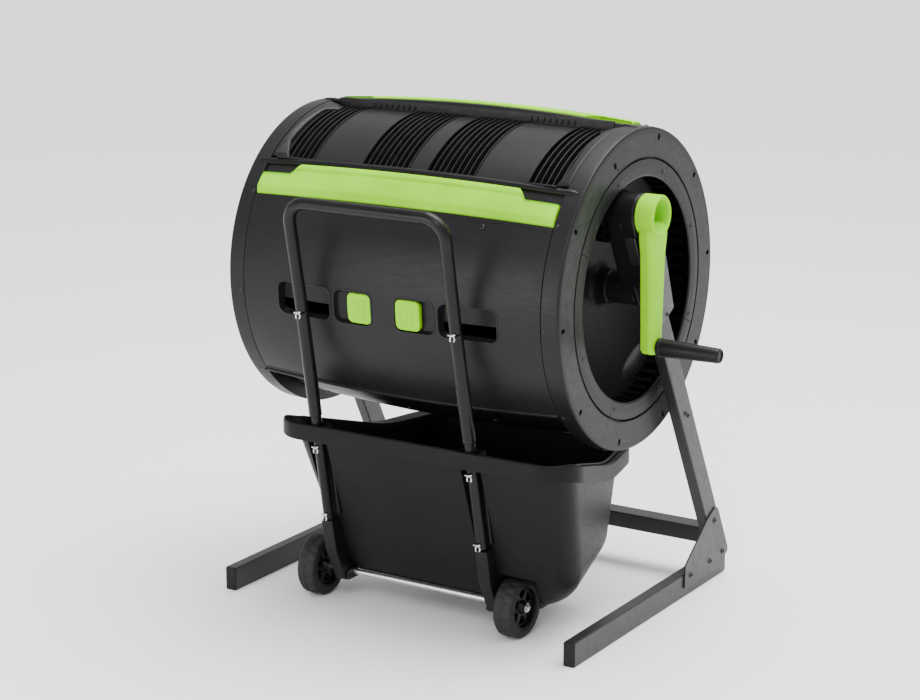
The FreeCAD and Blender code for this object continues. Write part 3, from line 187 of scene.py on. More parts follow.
def plated_metal(name, colour, rough, turned=(1.0, 1.0, 1.0)):
    """Zinc-plated or brushed metal with faint drawn lines and spangle."""
    n = Nodes(name)
    n.shader.inputs["Metallic"].default_value = 1.0
    spangle = n.noise(160.0, 4.0, 0.6)
    darker = tuple(0.72 * value for value in colour)
    n.join(n.mix(n.ramp(spangle, 0.0, 1.0), darker, colour), n.shader.inputs["Base Color"])
    lines = n.noise(240.0, 3.0, 0.5, turned)
    n.join(n.ramp(lines, rough - 0.08, rough + 0.12), n.shader.inputs["Roughness"])
    n.join(n.bump(lines, 0.00004, 0.5), n.shader.inputs["Normal"])
    return n.material


def solid_rubber(name, colour):
    """Matt tyre rubber with a dusty bloom."""
    n = Nodes(name)
    bloom = n.noise(45.0, 5.0, 0.65)
    dusty = tuple(value * 1.9 + 0.004 for value in colour)
    n.join(n.mix(n.ramp(bloom, 0.0, 0.6), colour, dusty), n.shader.inputs["Base Color"])
    n.join(n.ramp(bloom, 0.62, 0.8), n.shader.inputs["Roughness"])
    n.join(n.bump(n.noise(700.0, 3.0, 0.6), 0.00012, 0.7), n.shader.inputs["Normal"])
    return n.material


CHARCOAL = (0.0105, 0.0100, 0.0110)
BLACK = (0.0045, 0.0045, 0.0048)
GREEN = (0.255, 0.66, 0.0)

charcoal = moulded_plastic("charcoal_plastic", CHARCOAL, 0.38, sheen=0.17, wear=(0.03, 0.03, 0.031))
black = moulded_plastic("black_plastic", BLACK, 0.38, sheen=0.20, wear=(0.02, 0.02, 0.021))
tub_black = moulded_plastic("tub_plastic", (0.0075, 0.0070, 0.0076), 0.44, 620.0, 0.00008, 0.10)
# A darker, duller copy of the black plastic for the gears: the low sheen is the finish, and the darker colour is
# painted shade for the dim bottom of the bowl.
shade_darkened_black = moulded_plastic("gear_plastic_painted_shade", (0.003, 0.003, 0.003), 0.5, sheen=0.05)
green = moulded_plastic("green_plastic", GREEN, 0.42, 1100.0, 0.00003, 0.05)
frame_paint = powder_coat("frame_powder_coat", (0.012, 0.012, 0.0125), 0.36, 0.4)
handle_paint = powder_coat("handle_powder_coat", (0.005, 0.0049, 0.0048), 0.30, 0.2, 0.15)
plate_paint = powder_coat("plate_powder_coat", (0.05, 0.05, 0.052), 0.45)
zinc = plated_metal("zinc_plate", (0.74, 0.75, 0.77), 0.3, (1.0, 12.0, 12.0))
clip_steel = plated_metal("clip_steel", (0.78, 0.77, 0.74), 0.26)
screw_steel = plated_metal("screw_black_oxide", (0.06, 0.06, 0.064), 0.38)
rubber = solid_rubber("tyre_rubber", (0.0022, 0.0022, 0.0025))

for label, material in (
    ("green", green),
    ("charcoal", charcoal),
    ("frame_black", frame_paint),
    ("top_plate", plate_paint),
    ("screws_black", screw_steel),
    ("zinc", zinc),
    ("tyre", rubber),
    ("wheel_black", black),
):
    for part in frame["record"]["subparts"]:
        if part["material_slot"] == label:
            node = nodes[part["node"]]
            node.data.materials.clear()
            node.data.materials.append(material)
# The gears take the darker copy of the black plastic, as painted shade for the bowl's dim bottom.
for name in ("ring_gear", "pinion_gear"):
    nodes[name].data.materials[0] = shade_darkened_black


# ------------------------------------------------------------------ mesh helpers


def finish_piece(mesh, name, material, body, replaces=(), smooth=32.0, weighted=True):
    """Turn a mesh into a named piece that rides on a CAD body."""
    piece = bpy.data.objects.new(name, mesh)
    bpy.context.scene.collection.objects.link(piece)
    mesh.materials.clear()
    mesh.materials.append(material)
    for face in mesh.polygons:
        face.use_smooth = True
    mesh.set_sharp_from_angle(angle=math.radians(smooth))
    if weighted:
        shading = piece.modifiers.new("even_shading", "WEIGHTED_NORMAL")
        shading.keep_sharp = True
    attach(piece, body)
    if replaces:
        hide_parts(*replaces)
    return piece


def clean_mesh(bm, name):
    """Merge seams, point faces outwards and hand back a mesh."""
    bmesh.ops.remove_doubles(bm, verts=bm.verts, dist=0.00001)
    bmesh.ops.recalc_face_normals(bm, faces=bm.faces)
    mesh = bpy.data.meshes.new(name)
    bm.to_mesh(mesh)
    bm.free()
    return mesh


def rounded_loop(points, radius, steps=5):
    """A closed outline with its corners rounded; radius is one value or one per corner."""
    loop = []
    count = len(points)
    for i, corner in enumerate(points):
        size = radius[i] if isinstance(radius, (list, tuple)) else radius
        corner = Vector(corner)
        before = Vector(points[i - 1]) - corner
        after = Vector(points[(i + 1) % count]) - corner
        half = before.angle(after) / 2
        if size <= 0 or half > math.radians(89.5):
            loop.append(corner)
            continue
        reach = min(size / math.tan(half), 0.49 * before.length, 0.49 * after.length)
        size = reach * math.tan(half)
        centre = corner + (before.normalized() + after.normalized()).normalized() * (
            size / math.sin(half)
        )
        start = corner + before.normalized() * reach - centre
        end = corner + after.normalized() * reach - centre
        sweep = start.angle_signed(end)
        for step in range(steps + 1):
            turned = start.copy()
            turned.rotate(Matrix.Rotation(-sweep * step / steps, 2))
            loop.append(centre + turned)
    return loop


def rectangle(x0, x1, y0, y1):
    return [(x0, y0), (x1, y0), (x1, y1), (x0, y1)]


def ellipse(cx, cy, rx, ry, count=20):
    points = []
    for i in range(count):
        turn = 2 * math.pi * i / count
        points.append(Vector((cx + rx * math.cos(turn), cy + ry * math.sin(turn))))
    return points


def plate(loops, thick, edge, cell=None, steps=2):
    """A flat plate in millimetres with holes and rounded edges, its faces cut into cells.

    The first loop is the outline and the others are holes. Height runs 0 to thick."""
    curve = bpy.data.curves.new("outline", "CURVE")
    curve.dimensions = "2D"
    curve.fill_mode = "BOTH"
    curve.extrude = thick / 2 - edge
    curve.bevel_depth = edge
    curve.bevel_resolution = steps
    curve.offset = -edge
    for loop in loops:
        spline = curve.splines.new("POLY")
        spline.points.add(len(loop) - 1)
        for point, (x, y) in zip(spline.points, loop):
            point.co = (x, y, 0, 1)
        spline.use_cyclic_u = True
    holder = bpy.data.objects.new("outline", curve)
    bm = bmesh.new()
    bm.from_mesh(holder.to_mesh())
    bpy.data.objects.remove(holder)
    bpy.data.curves.remove(curve)
    bmesh.ops.remove_doubles(bm, verts=bm.verts, dist=0.001)
    bmesh.ops.translate(bm, verts=bm.verts, vec=(0, 0, thick / 2))
    if cell:
        xs = [v.co.x for v in bm.verts]
        ys = [v.co.y for v in bm.verts]
        for axis, low, high, pitch in (
            (Vector((1, 0, 0)), min(xs), max(xs), cell[0]),
            (Vector((0, 1, 0)), min(ys), max(ys), cell[1]),
        ):
            if not pitch:
                continue
            count = int((high - low) / pitch)
            for i in range(1, count + 1):
                at = axis * (low + (high - low) * i / (count + 1))
                bmesh.ops.bisect_plane(
                    bm, geom=bm.verts[:] + bm.edges[:] + bm.faces[:], plane_co=at,
                    plane_no=axis, dist=0.001,
                )
    return bm


def warp(bm, place):
    """Move every vertex through place(x, y, height), which gives metres."""
    for vert in bm.verts:
        vert.co = place(*vert.co)
    return bm


def barrel_radius(x):
    """The drum's outer radius, fullest in the middle."""
    return 336.0 - 14.5 * (x / 345.0) ** 2


def on_barrel(middle_angle, base=0.0, flip=1):
    """Wraps a flat plate round the drum: y runs up round it from middle_angle."""

    def place(x, y, height):
        angle = middle_angle + math.degrees(flip * y / 336.0)
        return round_drum(x, barrel_radius(x) + base + height, angle)

    return place


def on_side(x_face, direction=1):
    """Puts a flat plate drawn in (y, z) on a plane facing along X."""

    def place(y, z, height):
        return spot(x_face + direction * height, y, z)

    return place


def revolved(profile, place, segments=160, start=0.0, sweep=360.0):
    """Turns an open or closed profile of (x, radius) round an axis set by place(x, r, deg)."""
    bm = bmesh.new()
    full = abs(sweep - 360.0) < 0.001
    count = segments if full else segments + 1
    rings = []
    for i in range(count):
        angle = start + sweep * i / segments
        rings.append([bm.verts.new(place(x, radius, angle)) for x, radius in profile])
    for i in range(segments):
        first = rings[i]
        second = rings[(i + 1) % count]
        for j in range(len(profile) - 1):
            bm.faces.new((first[j], first[j + 1], second[j + 1], second[j]))
    return bm, rings


def soft_profile(points, radius, steps=3):
    """An open profile whose inner corners are rounded; radius is one value or one each."""
    made = [Vector(points[0])]
    for i in range(1, len(points) - 1):
        size = radius[i] if isinstance(radius, (list, tuple)) else radius
        corner = Vector(points[i])
        before = Vector(points[i - 1]) - corner
        after = Vector(points[i + 1]) - corner
        half = before.angle(after) / 2
        if size <= 0 or half > math.radians(88.0):
            made.append(corner)
            continue
        reach = min(size / math.tan(half), 0.45 * before.length, 0.45 * after.length)
        start = corner + before.normalized() * reach
        end = corner + after.normalized() * reach
        for step in range(steps + 1):
            share = step / steps
            first = start.lerp(corner, share)
            second = corner.lerp(end, share)
            made.append(first.lerp(second, share))
    made.append(Vector(points[-1]))
    return [tuple(point) for point in made]


def sweep_loop(path, loop, closed=False, caps=True):
    """Sweeps a closed cross-section along frames of (origin, across, up)."""
    bm = bmesh.new()
    rings = []
    for origin, across, up in path:
        rings.append([bm.verts.new(origin + across * x + up * y) for x, y in loop])
    spans = len(rings) if closed else len(rings) - 1
    for i in range(spans):
        first = rings[i]
        second = rings[(i + 1) % len(rings)]
        for j in range(len(loop)):
            k = (j + 1) % len(loop)
            bm.faces.new((first[j], first[k], second[k], second[j]))
    if caps and not closed:
        bm.faces.new(rings[0])
        bm.faces.new(rings[-1])
    return bm


def pipe(points, radius, sides=20, ends=2.0):
    """A round bar through points in metres; radius in millimetres, its ends rounded."""
    radius *= METRES
    ends *= METRES
    tangents = []
    for i in range(len(points)):
        before = points[max(0, i - 1)]
        after = points[min(len(points) - 1, i + 1)]
        tangents.append((after - before).normalized())
    side = tangents[0].orthogonal().normalized()
    stations = []
    for i, (point, tangent) in enumerate(zip(points, tangents)):
        side = (side - tangent * side.dot(tangent)).normalized()
        up = tangent.cross(side)
        if i == 0 and ends:
            for share in (0.0, 0.5, 1.0):
                back = point + tangent * ends * share
                slim = radius - ends * (1 - share) ** 2
                stations.append((back, side * slim, up * slim))
        elif i == len(points) - 1 and ends:
            for share in (1.0, 0.5, 0.0):
                back = point - tangent * ends * share
                slim = radius - ends * (1 - share) ** 2
                stations.append((back, side * slim, up * slim))
        else:
            stations.append((point, side * radius, up * radius))
    return sweep_loop(stations, ellipse(0, 0, 1, 1, sides))


def merge_into(target, source):
    """Adds one bmesh's faces to another."""
    mesh = bpy.data.meshes.new("part")
    source.to_mesh(mesh)
    source.free()
    target.from_mesh(mesh)
    bpy.data.meshes.remove(mesh)
    return target


# ------------------------------------------------------------------ drum panels

VENT_ANGLE = 67.6
DOOR_ANGLE = {"front": VENT_ANGLE - 72.0, "rear": VENT_ANGLE + 72.0}
PANEL_ANGLE = {"front": VENT_ANGLE - 144.0, "rear": VENT_ANGLE + 144.0}
BAND = 345.0
FACE_X = 382.5
ARC_PER_DEGREE = 336.0 * math.pi / 180.0
HAND_HOLE = (127.0, 253.0)
LATCH_HOLE = (28.0, 115.0)
HOLE_LOW = -34.0
HOLE_HIGH = 31.6
HOLE_CORNER = 15.0
CUP_DEPTH = 21.0
CUP_OPEN = 25.0
LATCH_TRAY_DEPTH = 12.5
LATCH_WIDTH = 55.0


def tray(x0, x1, y0, y1, deep, corner, place, open_low=0.0):
    """A moulded pocket with a rounded lip; the lowest open_low of its back is left open."""
    bm = bmesh.new()
    rows = []
    lip = [(3.2, 0.6), (3.0, 1.3), (1.6, 1.5), (0.3, 0.9), (0.0, -0.8)]
    depths = [(grow, height) for grow, height in lip]
    depths += [(-1.0, -deep * 0.6), (-1.6, -deep + 4.0), (-3.2, -deep + 1.2), (-6.5, -deep)]
    for grow, height in depths:
        outline = rectangle(x0 - grow, x1 + grow, y0 - grow, y1 + grow)
        loop = rounded_loop(outline, max(2.0, corner + grow), 6)
        rows.append([bm.verts.new((p.x, p.y, height)) for p in loop])
    for first, second in zip(rows, rows[1:]):
        for j in range(len(first)):
            k = (j + 1) % len(first)
            bm.faces.new((first[j], first[k], second[k], second[j]))
    floor = bm.faces.new(rows[-1])
    bmesh.ops.triangulate(bm, faces=[floor])
    if open_low:
        cut = y0 + open_low
        bmesh.ops.bisect_plane(
            bm, geom=bm.verts[:] + bm.edges[:] + bm.faces[:],
            plane_co=(0, cut, 0), plane_no=(0, 1, 0), dist=0.001,
        )
        gone = []
        for face in bm.faces:
            middle = face.calc_center_median()
            if middle.y < cut and middle.z < -deep + 4.5:
                gone.append(face)
        bmesh.ops.delete(bm, geom=gone, context="FACES")
    bmesh.ops.bisect_plane(
        bm, geom=bm.verts[:] + bm.edges[:] + bm.faces[:],
        plane_co=((x0 + x1) / 2, 0, 0), plane_no=(1, 0, 0), dist=0.001,
    )
    return warp(bm, place)


def latch_button(x0, x1, y0, y1, crown, place):
    """Thumb slide with a pillowed face, three fine grooves and soft corners."""
    loop = rounded_loop(rectangle(x0, x1, y0, y1), 11.0, 6)
    bm = plate([loop], 11.4, 2.4, (1.6, 3.2), 4)
    centre_x = (x0 + x1) / 2
    centre_y = (y0 + y1) / 2
    half_x = (x1 - x0) / 2
    half_y = (y1 - y0) / 2
    for vert in bm.verts:
        if vert.co.z < 7.0:
            continue
        across = (vert.co.x - centre_x) / half_x
        along = (vert.co.y - centre_y) / half_y
        pillow = crown * (1 - 0.45 * across**2 - 0.55 * along**2)
        groove = 0.0
        for number in (-1, 0, 1):
            away = abs(vert.co.x - centre_x - number * 11.5)
            groove += 1 - blend_between(0.4, 3.4, away)
        ends = 1 - blend_between(0.60, 0.76, abs(along))
        vert.co.z += pillow - 2.3 * groove * ends
    return warp(bm, place)


def panel_screw_pieces():
    """Pan heads: one high on the front door, three low on the wall under it."""
    for body, depth, places in (
        ("front_door", 0.3, ((201.0, 28.0),)),
        ("drum", 28.0, ((-289.0, -68.0), (-59.0, -61.0), (147.0, -60.0))),
    ):
        bm = bmesh.new()
        for x, angle in places:
            head = screw_head(5.0, 3.2, 0.5)
            radius = barrel_radius(x) - depth
            for vert in head.verts:
                across, along, height = vert.co
                vert.co = round_drum(x + across, radius + height, angle + math.degrees(along / radius))
            merge_into(bm, head)
        mesh = clean_mesh(bm, f"panel_screws_{body}")
        finish_piece(mesh, f"panel_screws_{body}", screw_steel, body)


def door_pieces(side):
    """Door shell with its cup pulls, latch pockets, latches, lower rail and top bead."""
    up = 1 if side == "front" else -1
    body = f"{side}_door"
    middle = DOOR_ANGLE[side]
    half_arc = 35.5 * ARC_PER_DEGREE
    place = on_barrel(middle, -6.0, up)
    outline = rounded_loop(rectangle(-BAND + 1.0, BAND - 1.0, -half_arc, half_arc), 2.5, 3)
    loops = [outline]
    for mirror in (-1, 1):
        for start, end in (HAND_HOLE, LATCH_HOLE):
            x0, x1 = sorted((mirror * start, mirror * end))
            hole = rounded_loop(rectangle(x0, x1, HOLE_LOW, HOLE_HIGH), 15.0, 6)
            loops.append(hole[::-1])
    shell = warp(plate(loops, 6.0, 1.0, (24.0, 14.0)), place)
    mesh = clean_mesh(shell, f"door_shell_{side}")
    finish_piece(mesh, f"door_shell_{side}", charcoal, body, [f"door_{side}"])
    surface = on_barrel(middle, 0.0, up)
    cups = bmesh.new()
    for mirror in (-1, 1):
        x0, x1 = sorted((mirror * HAND_HOLE[0], mirror * HAND_HOLE[1]))
        cup = tray(x0, x1, HOLE_LOW, HOLE_HIGH, CUP_DEPTH, HOLE_CORNER, surface, open_low=CUP_OPEN)
        merge_into(cups, cup)
    mesh = clean_mesh(cups, f"door_cups_{side}")
    finish_piece(mesh, f"door_cups_{side}", charcoal, body)
    pockets = bmesh.new()
    for mirror in (-1, 1):
        x0, x1 = sorted((mirror * LATCH_HOLE[0], mirror * LATCH_HOLE[1]))
        merge_into(pockets, tray(x0, x1, HOLE_LOW, HOLE_HIGH, LATCH_TRAY_DEPTH, HOLE_CORNER, surface))
    mesh = clean_mesh(pockets, f"latch_pockets_{side}")
    finish_piece(
        mesh, f"latch_pockets_{side}", charcoal, body, [f"latch_trays_{side}"]
    )
    for hand, mirror in (("left", -1), ("right", 1)):
        start = mirror * (LATCH_HOLE[0] + 0.8)
        x0, x1 = sorted((start, start + mirror * LATCH_WIDTH))
        seat = on_barrel(middle, -12.2, up)
        button = latch_button(x0, x1, HOLE_LOW + 2.2, HOLE_HIGH - 2.2, 0.9, seat)
        mesh = clean_mesh(button, f"latch_button_{side}_{hand}")
        finish_piece(
            mesh, f"latch_button_{side}_{hand}", green, f"{side}_{hand}_latch",
            [f"latch_{side}_{hand}"], 40.0,
        )
    rail = bmesh.new()
    low = -half_arc - 1.0
    profile = [(0.0, -1.0), (0.0, 2.6), (3.2, 3.9), (6.6, 3.2), (7.6, 0.8), (7.8, -1.0)]
    profile = soft_profile(profile, 1.4)
    stations = [-BAND + 2.0 + (2 * BAND - 4.0) * i / 40 for i in range(41)]
    rings = []
    for x in stations:
        rings.append([rail.verts.new((x, low + y, height)) for y, height in profile])
    for first, second in zip(rings, rings[1:]):
        for j in range(len(profile) - 1):
            rail.faces.new((first[j], first[j + 1], second[j + 1], second[j]))
    for end in (rings[0], rings[-1]):
        rail.faces.new(end)
    groove = plate([rectangle(-BAND + 8.0, -BAND + 90.0, low + 10.0, low + 14.0)], 1.2, 0.4, (10, 0))
    bmesh.ops.translate(groove, verts=groove.verts, vec=(0, 0, -0.4))
    merge_into(rail, groove)
    mesh = clean_mesh(warp(rail, surface), f"door_rail_{side}")
    finish_piece(mesh, f"door_rail_{side}", charcoal, body)
    top_line = plate(
        [rounded_loop(rectangle(-BAND + 12.0, BAND - 12.0, half_arc - 7.0, half_arc - 4.0), 1.2, 3)],
        1.0, 0.45, (20, 0),
    )
    bmesh.ops.translate(top_line, verts=top_line.verts, vec=(0, 0, -0.2))
    mesh = clean_mesh(warp(top_line, surface), f"door_top_bead_{side}")
    finish_piece(mesh, f"door_top_bead_{side}", charcoal, body)


def lower_panel_piece(side):
    """Plain wall panel set back behind the door's path."""
    half_arc = 35.6 * ARC_PER_DEGREE
    outline = rectangle(-BAND + 0.5, BAND - 0.5, -half_arc, half_arc)
    panel = plate([outline], 5.0, 0.6, (24.0, 14.0))
    warp(panel, on_barrel(PANEL_ANGLE[side], -33.0))
    mesh = clean_mesh(panel, f"wall_panel_{side}")
    finish_piece(mesh, f"wall_panel_{side}", charcoal, "drum", [f"lower_panel_{side}"])


for side in ("front", "rear"):
    door_pieces(side)
    lower_panel_piece(side)


# ------------------------------------------------------------------ green strips

STRIP_OFFSET = 30.35
STRIP_HALF = 35.4
STRIP_END = 343.0


def strip_top(x):
    """How far up the strip reaches: its ends are cut lower, with a sloping step."""
    return STRIP_HALF - 24.0 * blend_between(250.0, 273.0, abs(x))


def grab_strip_piece(side, toward):
    """Green moulding: sloped foot, broad face, fine groove and a raised upper lip."""
    profile = [
        (-STRIP_HALF, -3.0), (-STRIP_HALF, 0.5), (-STRIP_HALF + 3.0, 3.4),
        (-STRIP_HALF + 13.0, 8.4), (-STRIP_HALF + 17.0, 9.0), (0.0, 8.0), (17.0, 6.4),
        (20.5, 5.4), (22.0, 7.6), (25.0, 8.8), (31.0, 8.6), (STRIP_HALF - 0.8, 6.6),
        (STRIP_HALF, 3.0), (STRIP_HALF, -3.0),
    ]
    profile = soft_profile(profile, 2.2, 2)
    bm = bmesh.new()
    stations = [-STRIP_END + 2 * STRIP_END * i / 120 for i in range(121)]
    taper_stations = (250.0, 252.0, 255.0, 258.0, 261.5, 265.0, 268.0, 271.0, 273.0)
    stations += [x * sign for x in taper_stations for sign in (-1, 1)]
    rings = []
    for x in sorted(set(stations)):
        limit = strip_top(x)
        trim = 1.6 * blend_between(STRIP_END - 4.0, STRIP_END, abs(x))
        ring = []
        for y, height in profile:
            held = min(y, limit)
            drop = 0.0 if y <= limit else 0.8
            ring.append(bm.verts.new((x, held, height - drop - (trim if height > 0 else 0))))
        rings.append(ring)
    for first, second in zip(rings, rings[1:]):
        for j in range(len(profile) - 1):
            if (first[j].co - first[j + 1].co).length + (second[j].co - second[j + 1].co).length > 0.01:
                bm.faces.new((first[j], first[j + 1], second[j + 1], second[j]))
    for end in (rings[0], rings[-1]):
        bm.faces.new(end)
    bmesh.ops.remove_doubles(bm, verts=bm.verts, dist=0.01)
    place = on_barrel(VENT_ANGLE + toward * STRIP_OFFSET, -3.0, -toward)
    mesh = clean_mesh(warp(bm, place), f"green_strip_{side}")
    finish_piece(
        mesh, f"green_strip_{side}", green, "drum", [f"grab_strip_{side}"], 30.0
    )


def strip_bed_piece():
    """Black wall under both strips, seen at the strips' cut ends."""
    bm = bmesh.new()
    for toward in (-1, 1):
        bed = plate([rectangle(-BAND + 0.4, BAND - 0.4, -36.0, 36.0)], 6.0, 0.5, (24.0, 12.0))
        merge_into(bm, warp(bed, on_barrel(VENT_ANGLE + toward * STRIP_OFFSET, -11.0)))
    mesh = clean_mesh(bm, "strip_wall")
    finish_piece(mesh, "strip_wall", charcoal, "drum", ["strip_beds"])


def joiner_rail_piece():
    """Black rails with round noses that run on over the end bands."""
    bm = bmesh.new()
    half = 7.5
    profile = [
        (-half, -22.0), (-half, -3.0), (-half + 2.0, 0.8), (0.0, 2.6), (half - 3.0, 1.6),
        (half, -1.5), (half, -22.0),
    ]
    profile = soft_profile(profile, 2.6, 3)
    for toward in (-1, 1):
        part = bmesh.new()
        rings = []
        count = 90
        for i in range(count + 1):
            x = -371.0 + 742.0 * i / count
            beyond = max(0.0, abs(x) - 358.0) / 13.0
            shrink = math.sqrt(max(0.0, 1 - beyond**2))
            on_band = blend_between(340.0, 349.0, abs(x))
            lift = 1.8 * on_band
            ring = []
            for y, height in profile:
                low = max(height, -6.0 + 0.0 * on_band) if on_band > 0.5 else height
                level = low if low < 0 else low * (0.35 + 0.65 * shrink)
                ring.append(part.verts.new((x, y * (0.08 + 0.92 * shrink), level + lift)))
            rings.append(ring)
        for first, second in zip(rings, rings[1:]):
            for j in range(len(profile) - 1):
                part.faces.new((first[j], first[j + 1], second[j + 1], second[j]))
        for end in (rings[0], rings[-1]):
            part.faces.new(end)
        place = on_barrel(VENT_ANGLE + toward * 22.9, 0.0, -toward)
        merge_into(bm, warp(part, place))
    mesh = clean_mesh(bm, "vent_rails")
    finish_piece(mesh, "vent_rails", black, "drum", ["joiner_rails"])


grab_strip_piece("front", -1)
grab_strip_piece("rear", 1)
strip_bed_piece()
joiner_rail_piece()


# ------------------------------------------------------------------ vent

VENT_RADIUS = 312.5
VENT_HALF = 324.0
VENT_ARC = 21.3
FIN_PITCH = 13.5
FIN_THICK = 3.8
FIN_GROUPS = ((-252.0, -1, 5), (-24.0, -1, 8), (24.0, 1, 8), (252.0, 1, 5))


def vent_pieces():
    """Grille between the rails: smooth plates, slatted windows and curved fins."""
    half_arc = VENT_ARC * VENT_RADIUS * math.pi / 180.0

    def place(x, y, height):
        angle = VENT_ANGLE + math.degrees(y / VENT_RADIUS)
        return round_drum(x, VENT_RADIUS + height - 3.0 * (x / VENT_HALF) ** 2, angle)

    loops = [rectangle(-VENT_HALF, VENT_HALF, -half_arc, half_arc)]
    fins = bmesh.new()
    for start, direction, count in FIN_GROUPS:
        x0, x1 = sorted((start, start + direction * (count * FIN_PITCH - FIN_THICK)))
        window = rounded_loop(rectangle(x0, x1, -half_arc + 3.0, half_arc - 3.0), 3.0, 3)
        loops.append(window[::-1])
        for number in range(count + 1):
            at = x0 - FIN_THICK / 2 + FIN_PITCH * number
            fin = bmesh.new()
            rings = []
            section = [(-1.9, -17.0), (-1.9, 0.9), (-1.1, 2.2), (1.1, 2.2), (1.9, 0.9), (1.9, -17.0)]
            steps = 36
            for i in range(steps + 1):
                y = -half_arc + 0.5 + (2 * half_arc - 1.0) * i / steps
                rings.append([fin.verts.new((at + dx, y, height)) for dx, height in section])
            for first, second in zip(rings, rings[1:]):
                for j in range(len(section)):
                    k = (j + 1) % len(section)
                    fin.faces.new((first[j], first[k], second[k], second[j]))
            merge_into(fins, fin)
    panel = warp(plate(loops, 4.0, 0.7, (30.0, 7.0)), lambda x, y, h: place(x, y, h - 4.0))
    mesh = clean_mesh(panel, "vent_plate")
    finish_piece(mesh, "vent_plate", charcoal, "drum", ["vent_panel"])
    mesh = clean_mesh(warp(fins, place), "vent_fins")
    finish_piece(mesh, "vent_fins", black, "drum")
    walls = bmesh.new()
    for toward in (-1, 1):
        wall = bmesh.new()
        rows = []
        for i in range(41):
            x = -VENT_HALF + 2 * VENT_HALF * i / 40
            rows.append([wall.verts.new((x, toward * (half_arc + dy), h)) for dy, h in
                         ((0.0, -5.0), (0.6, 8.0), (1.2, 19.0), (4.6, 19.0), (4.6, -5.0))])
        for first, second in zip(rows, rows[1:]):
            for j in range(4):
                wall.faces.new((first[j], first[j + 1], second[j + 1], second[j]))
        merge_into(walls, wall)
        for start in (-236.0, 138.0):
            for number in range(8):
                peg_x = start + 14.0 * number
                peg = plate([ellipse(peg_x, 8.5, 3.2, 5.2, 14)], 2.6, 1.2)
                for vert in peg.verts:
                    vert.co = Vector((vert.co.x, toward * (half_arc + 0.8 - vert.co.z), vert.co.y))
                merge_into(walls, peg)
    mesh = clean_mesh(warp(walls, place), "vent_walls")
    finish_piece(mesh, "vent_walls", black, "drum")


def vent_end_piece():
    """Stepped shoulders that close the vent against the end bands."""
    bm = bmesh.new()
    far = 20.2 * ARC_PER_DEGREE
    for mirror in (-1, 1):
        outline = [
            (mirror * 344.6, -far), (mirror * 344.6, far), (mirror * 300.0, far),
            (mirror * 306.0, far - 20.0), (mirror * 323.0, far - 50.0),
            (mirror * 325.0, -far + 46.0), (mirror * 315.0, -far + 16.0), (mirror * 308.0, -far),
        ]
        frame_plate = plate([rounded_loop(outline, [0, 0, 4, 14, 18, 18, 12, 4], 5)], 9.0, 3.2, (0, 9.0), 4)
        for vert in frame_plate.verts:
            inward = 1 - blend_between(300.0, 342.0, abs(vert.co.x))
            vert.co.z -= 13.0 * inward if vert.co.z > 4.0 else 22.0
        merge_into(bm, warp(frame_plate, on_barrel(VENT_ANGLE, -10.0)))
    mesh = clean_mesh(bm, "vent_shoulders")
    finish_piece(mesh, "vent_shoulders", charcoal, "drum", ["vent_end_frames"], 40.0)


vent_pieces()
vent_end_piece()


# ------------------------------------------------------------------ drum ends

RIM_HOLE_STEP = 36.0
RIM_HOLE_RADIUS = 302.0
LOW_HOLE_ANGLE = 67.7
COVER_OUTER = 258.0
COVER_INNER = 223.0
COVER_JOINT_ANGLE = 25.8
COVER_SCREW_ANGLE = 22.6
HUB_RADIUS = 32.0
SCOOP_SHIFT = -9.0
SCOOP_OUTER = 222.5
SCOOP_WIDE = 33.0
SCOOP_HALF = 20.0
SCOOP_BASE = 296.0
SCOOP_TALL = 33.0


def rim_hole_places():
    """Ten fixings round each end; the one at the vent sits further in."""
    for number in range(10):
        angle = LOW_HOLE_ANGLE - RIM_HOLE_STEP * number
        yield angle, RIM_HOLE_RADIUS - (20.0 if number == 0 else 0.0)


def around(x, radius, angle):
    return round_drum(x, radius, angle)


def on_end(side, x_face):
    """Puts a flat plate drawn in (y, z about the axle) on a drum end; height is outwards."""

    def place(y, z, height):
        return spot(side * (x_face + height), y, AXIS_Z + z)

    return place


def polar(radius, angle):
    turn = math.radians(angle)
    return -radius * math.cos(turn), radius * math.sin(turn)


def turned_ellipse(cx, cy, rx, ry, degrees, count=16):
    turn = Matrix.Rotation(math.radians(degrees), 2)
    points = []
    for point in ellipse(0, 0, rx, ry, count):
        points.append(turn @ point + Vector((cx, cy)))
    return points


def ring_sector(middle, half, inner, outer, hole_radius):
    """One flat sector of the ring with its long hole, open at both ends."""
    steps = 24
    far = []
    near = []
    for i in range(steps + 1):
        angle = middle - half + 2 * half * i / steps
        far.append(Vector(polar(outer, angle)))
        near.append(Vector(polar(inner, angle)))
    wanted = math.radians(half) * (outer**2 - inner**2) - math.pi * 6.9 * 5.0
    for count in (16, 18, 20, 22, 24):
        hole = turned_ellipse(*polar(hole_radius, middle), 6.9, 5.0, -middle, count)
        sector = plate([far + near[::-1], hole[::-1]], 5.0, 0.0)
        flat = sum(face.calc_area() for face in sector.faces if abs(face.normal.z) > 0.9)
        if flat > 1.9 * wanted:
            break
        sector.free()
    ends = []
    for face in sector.faces:
        y, z, _ = face.calc_center_median()
        angle = math.degrees(math.atan2(z, -y))
        if abs((angle - middle + 180.0) % 360.0 - 180.0) > half - 0.01:
            ends.append(face)
    bmesh.ops.delete(sector, geom=ends, context="FACES")
    return sector


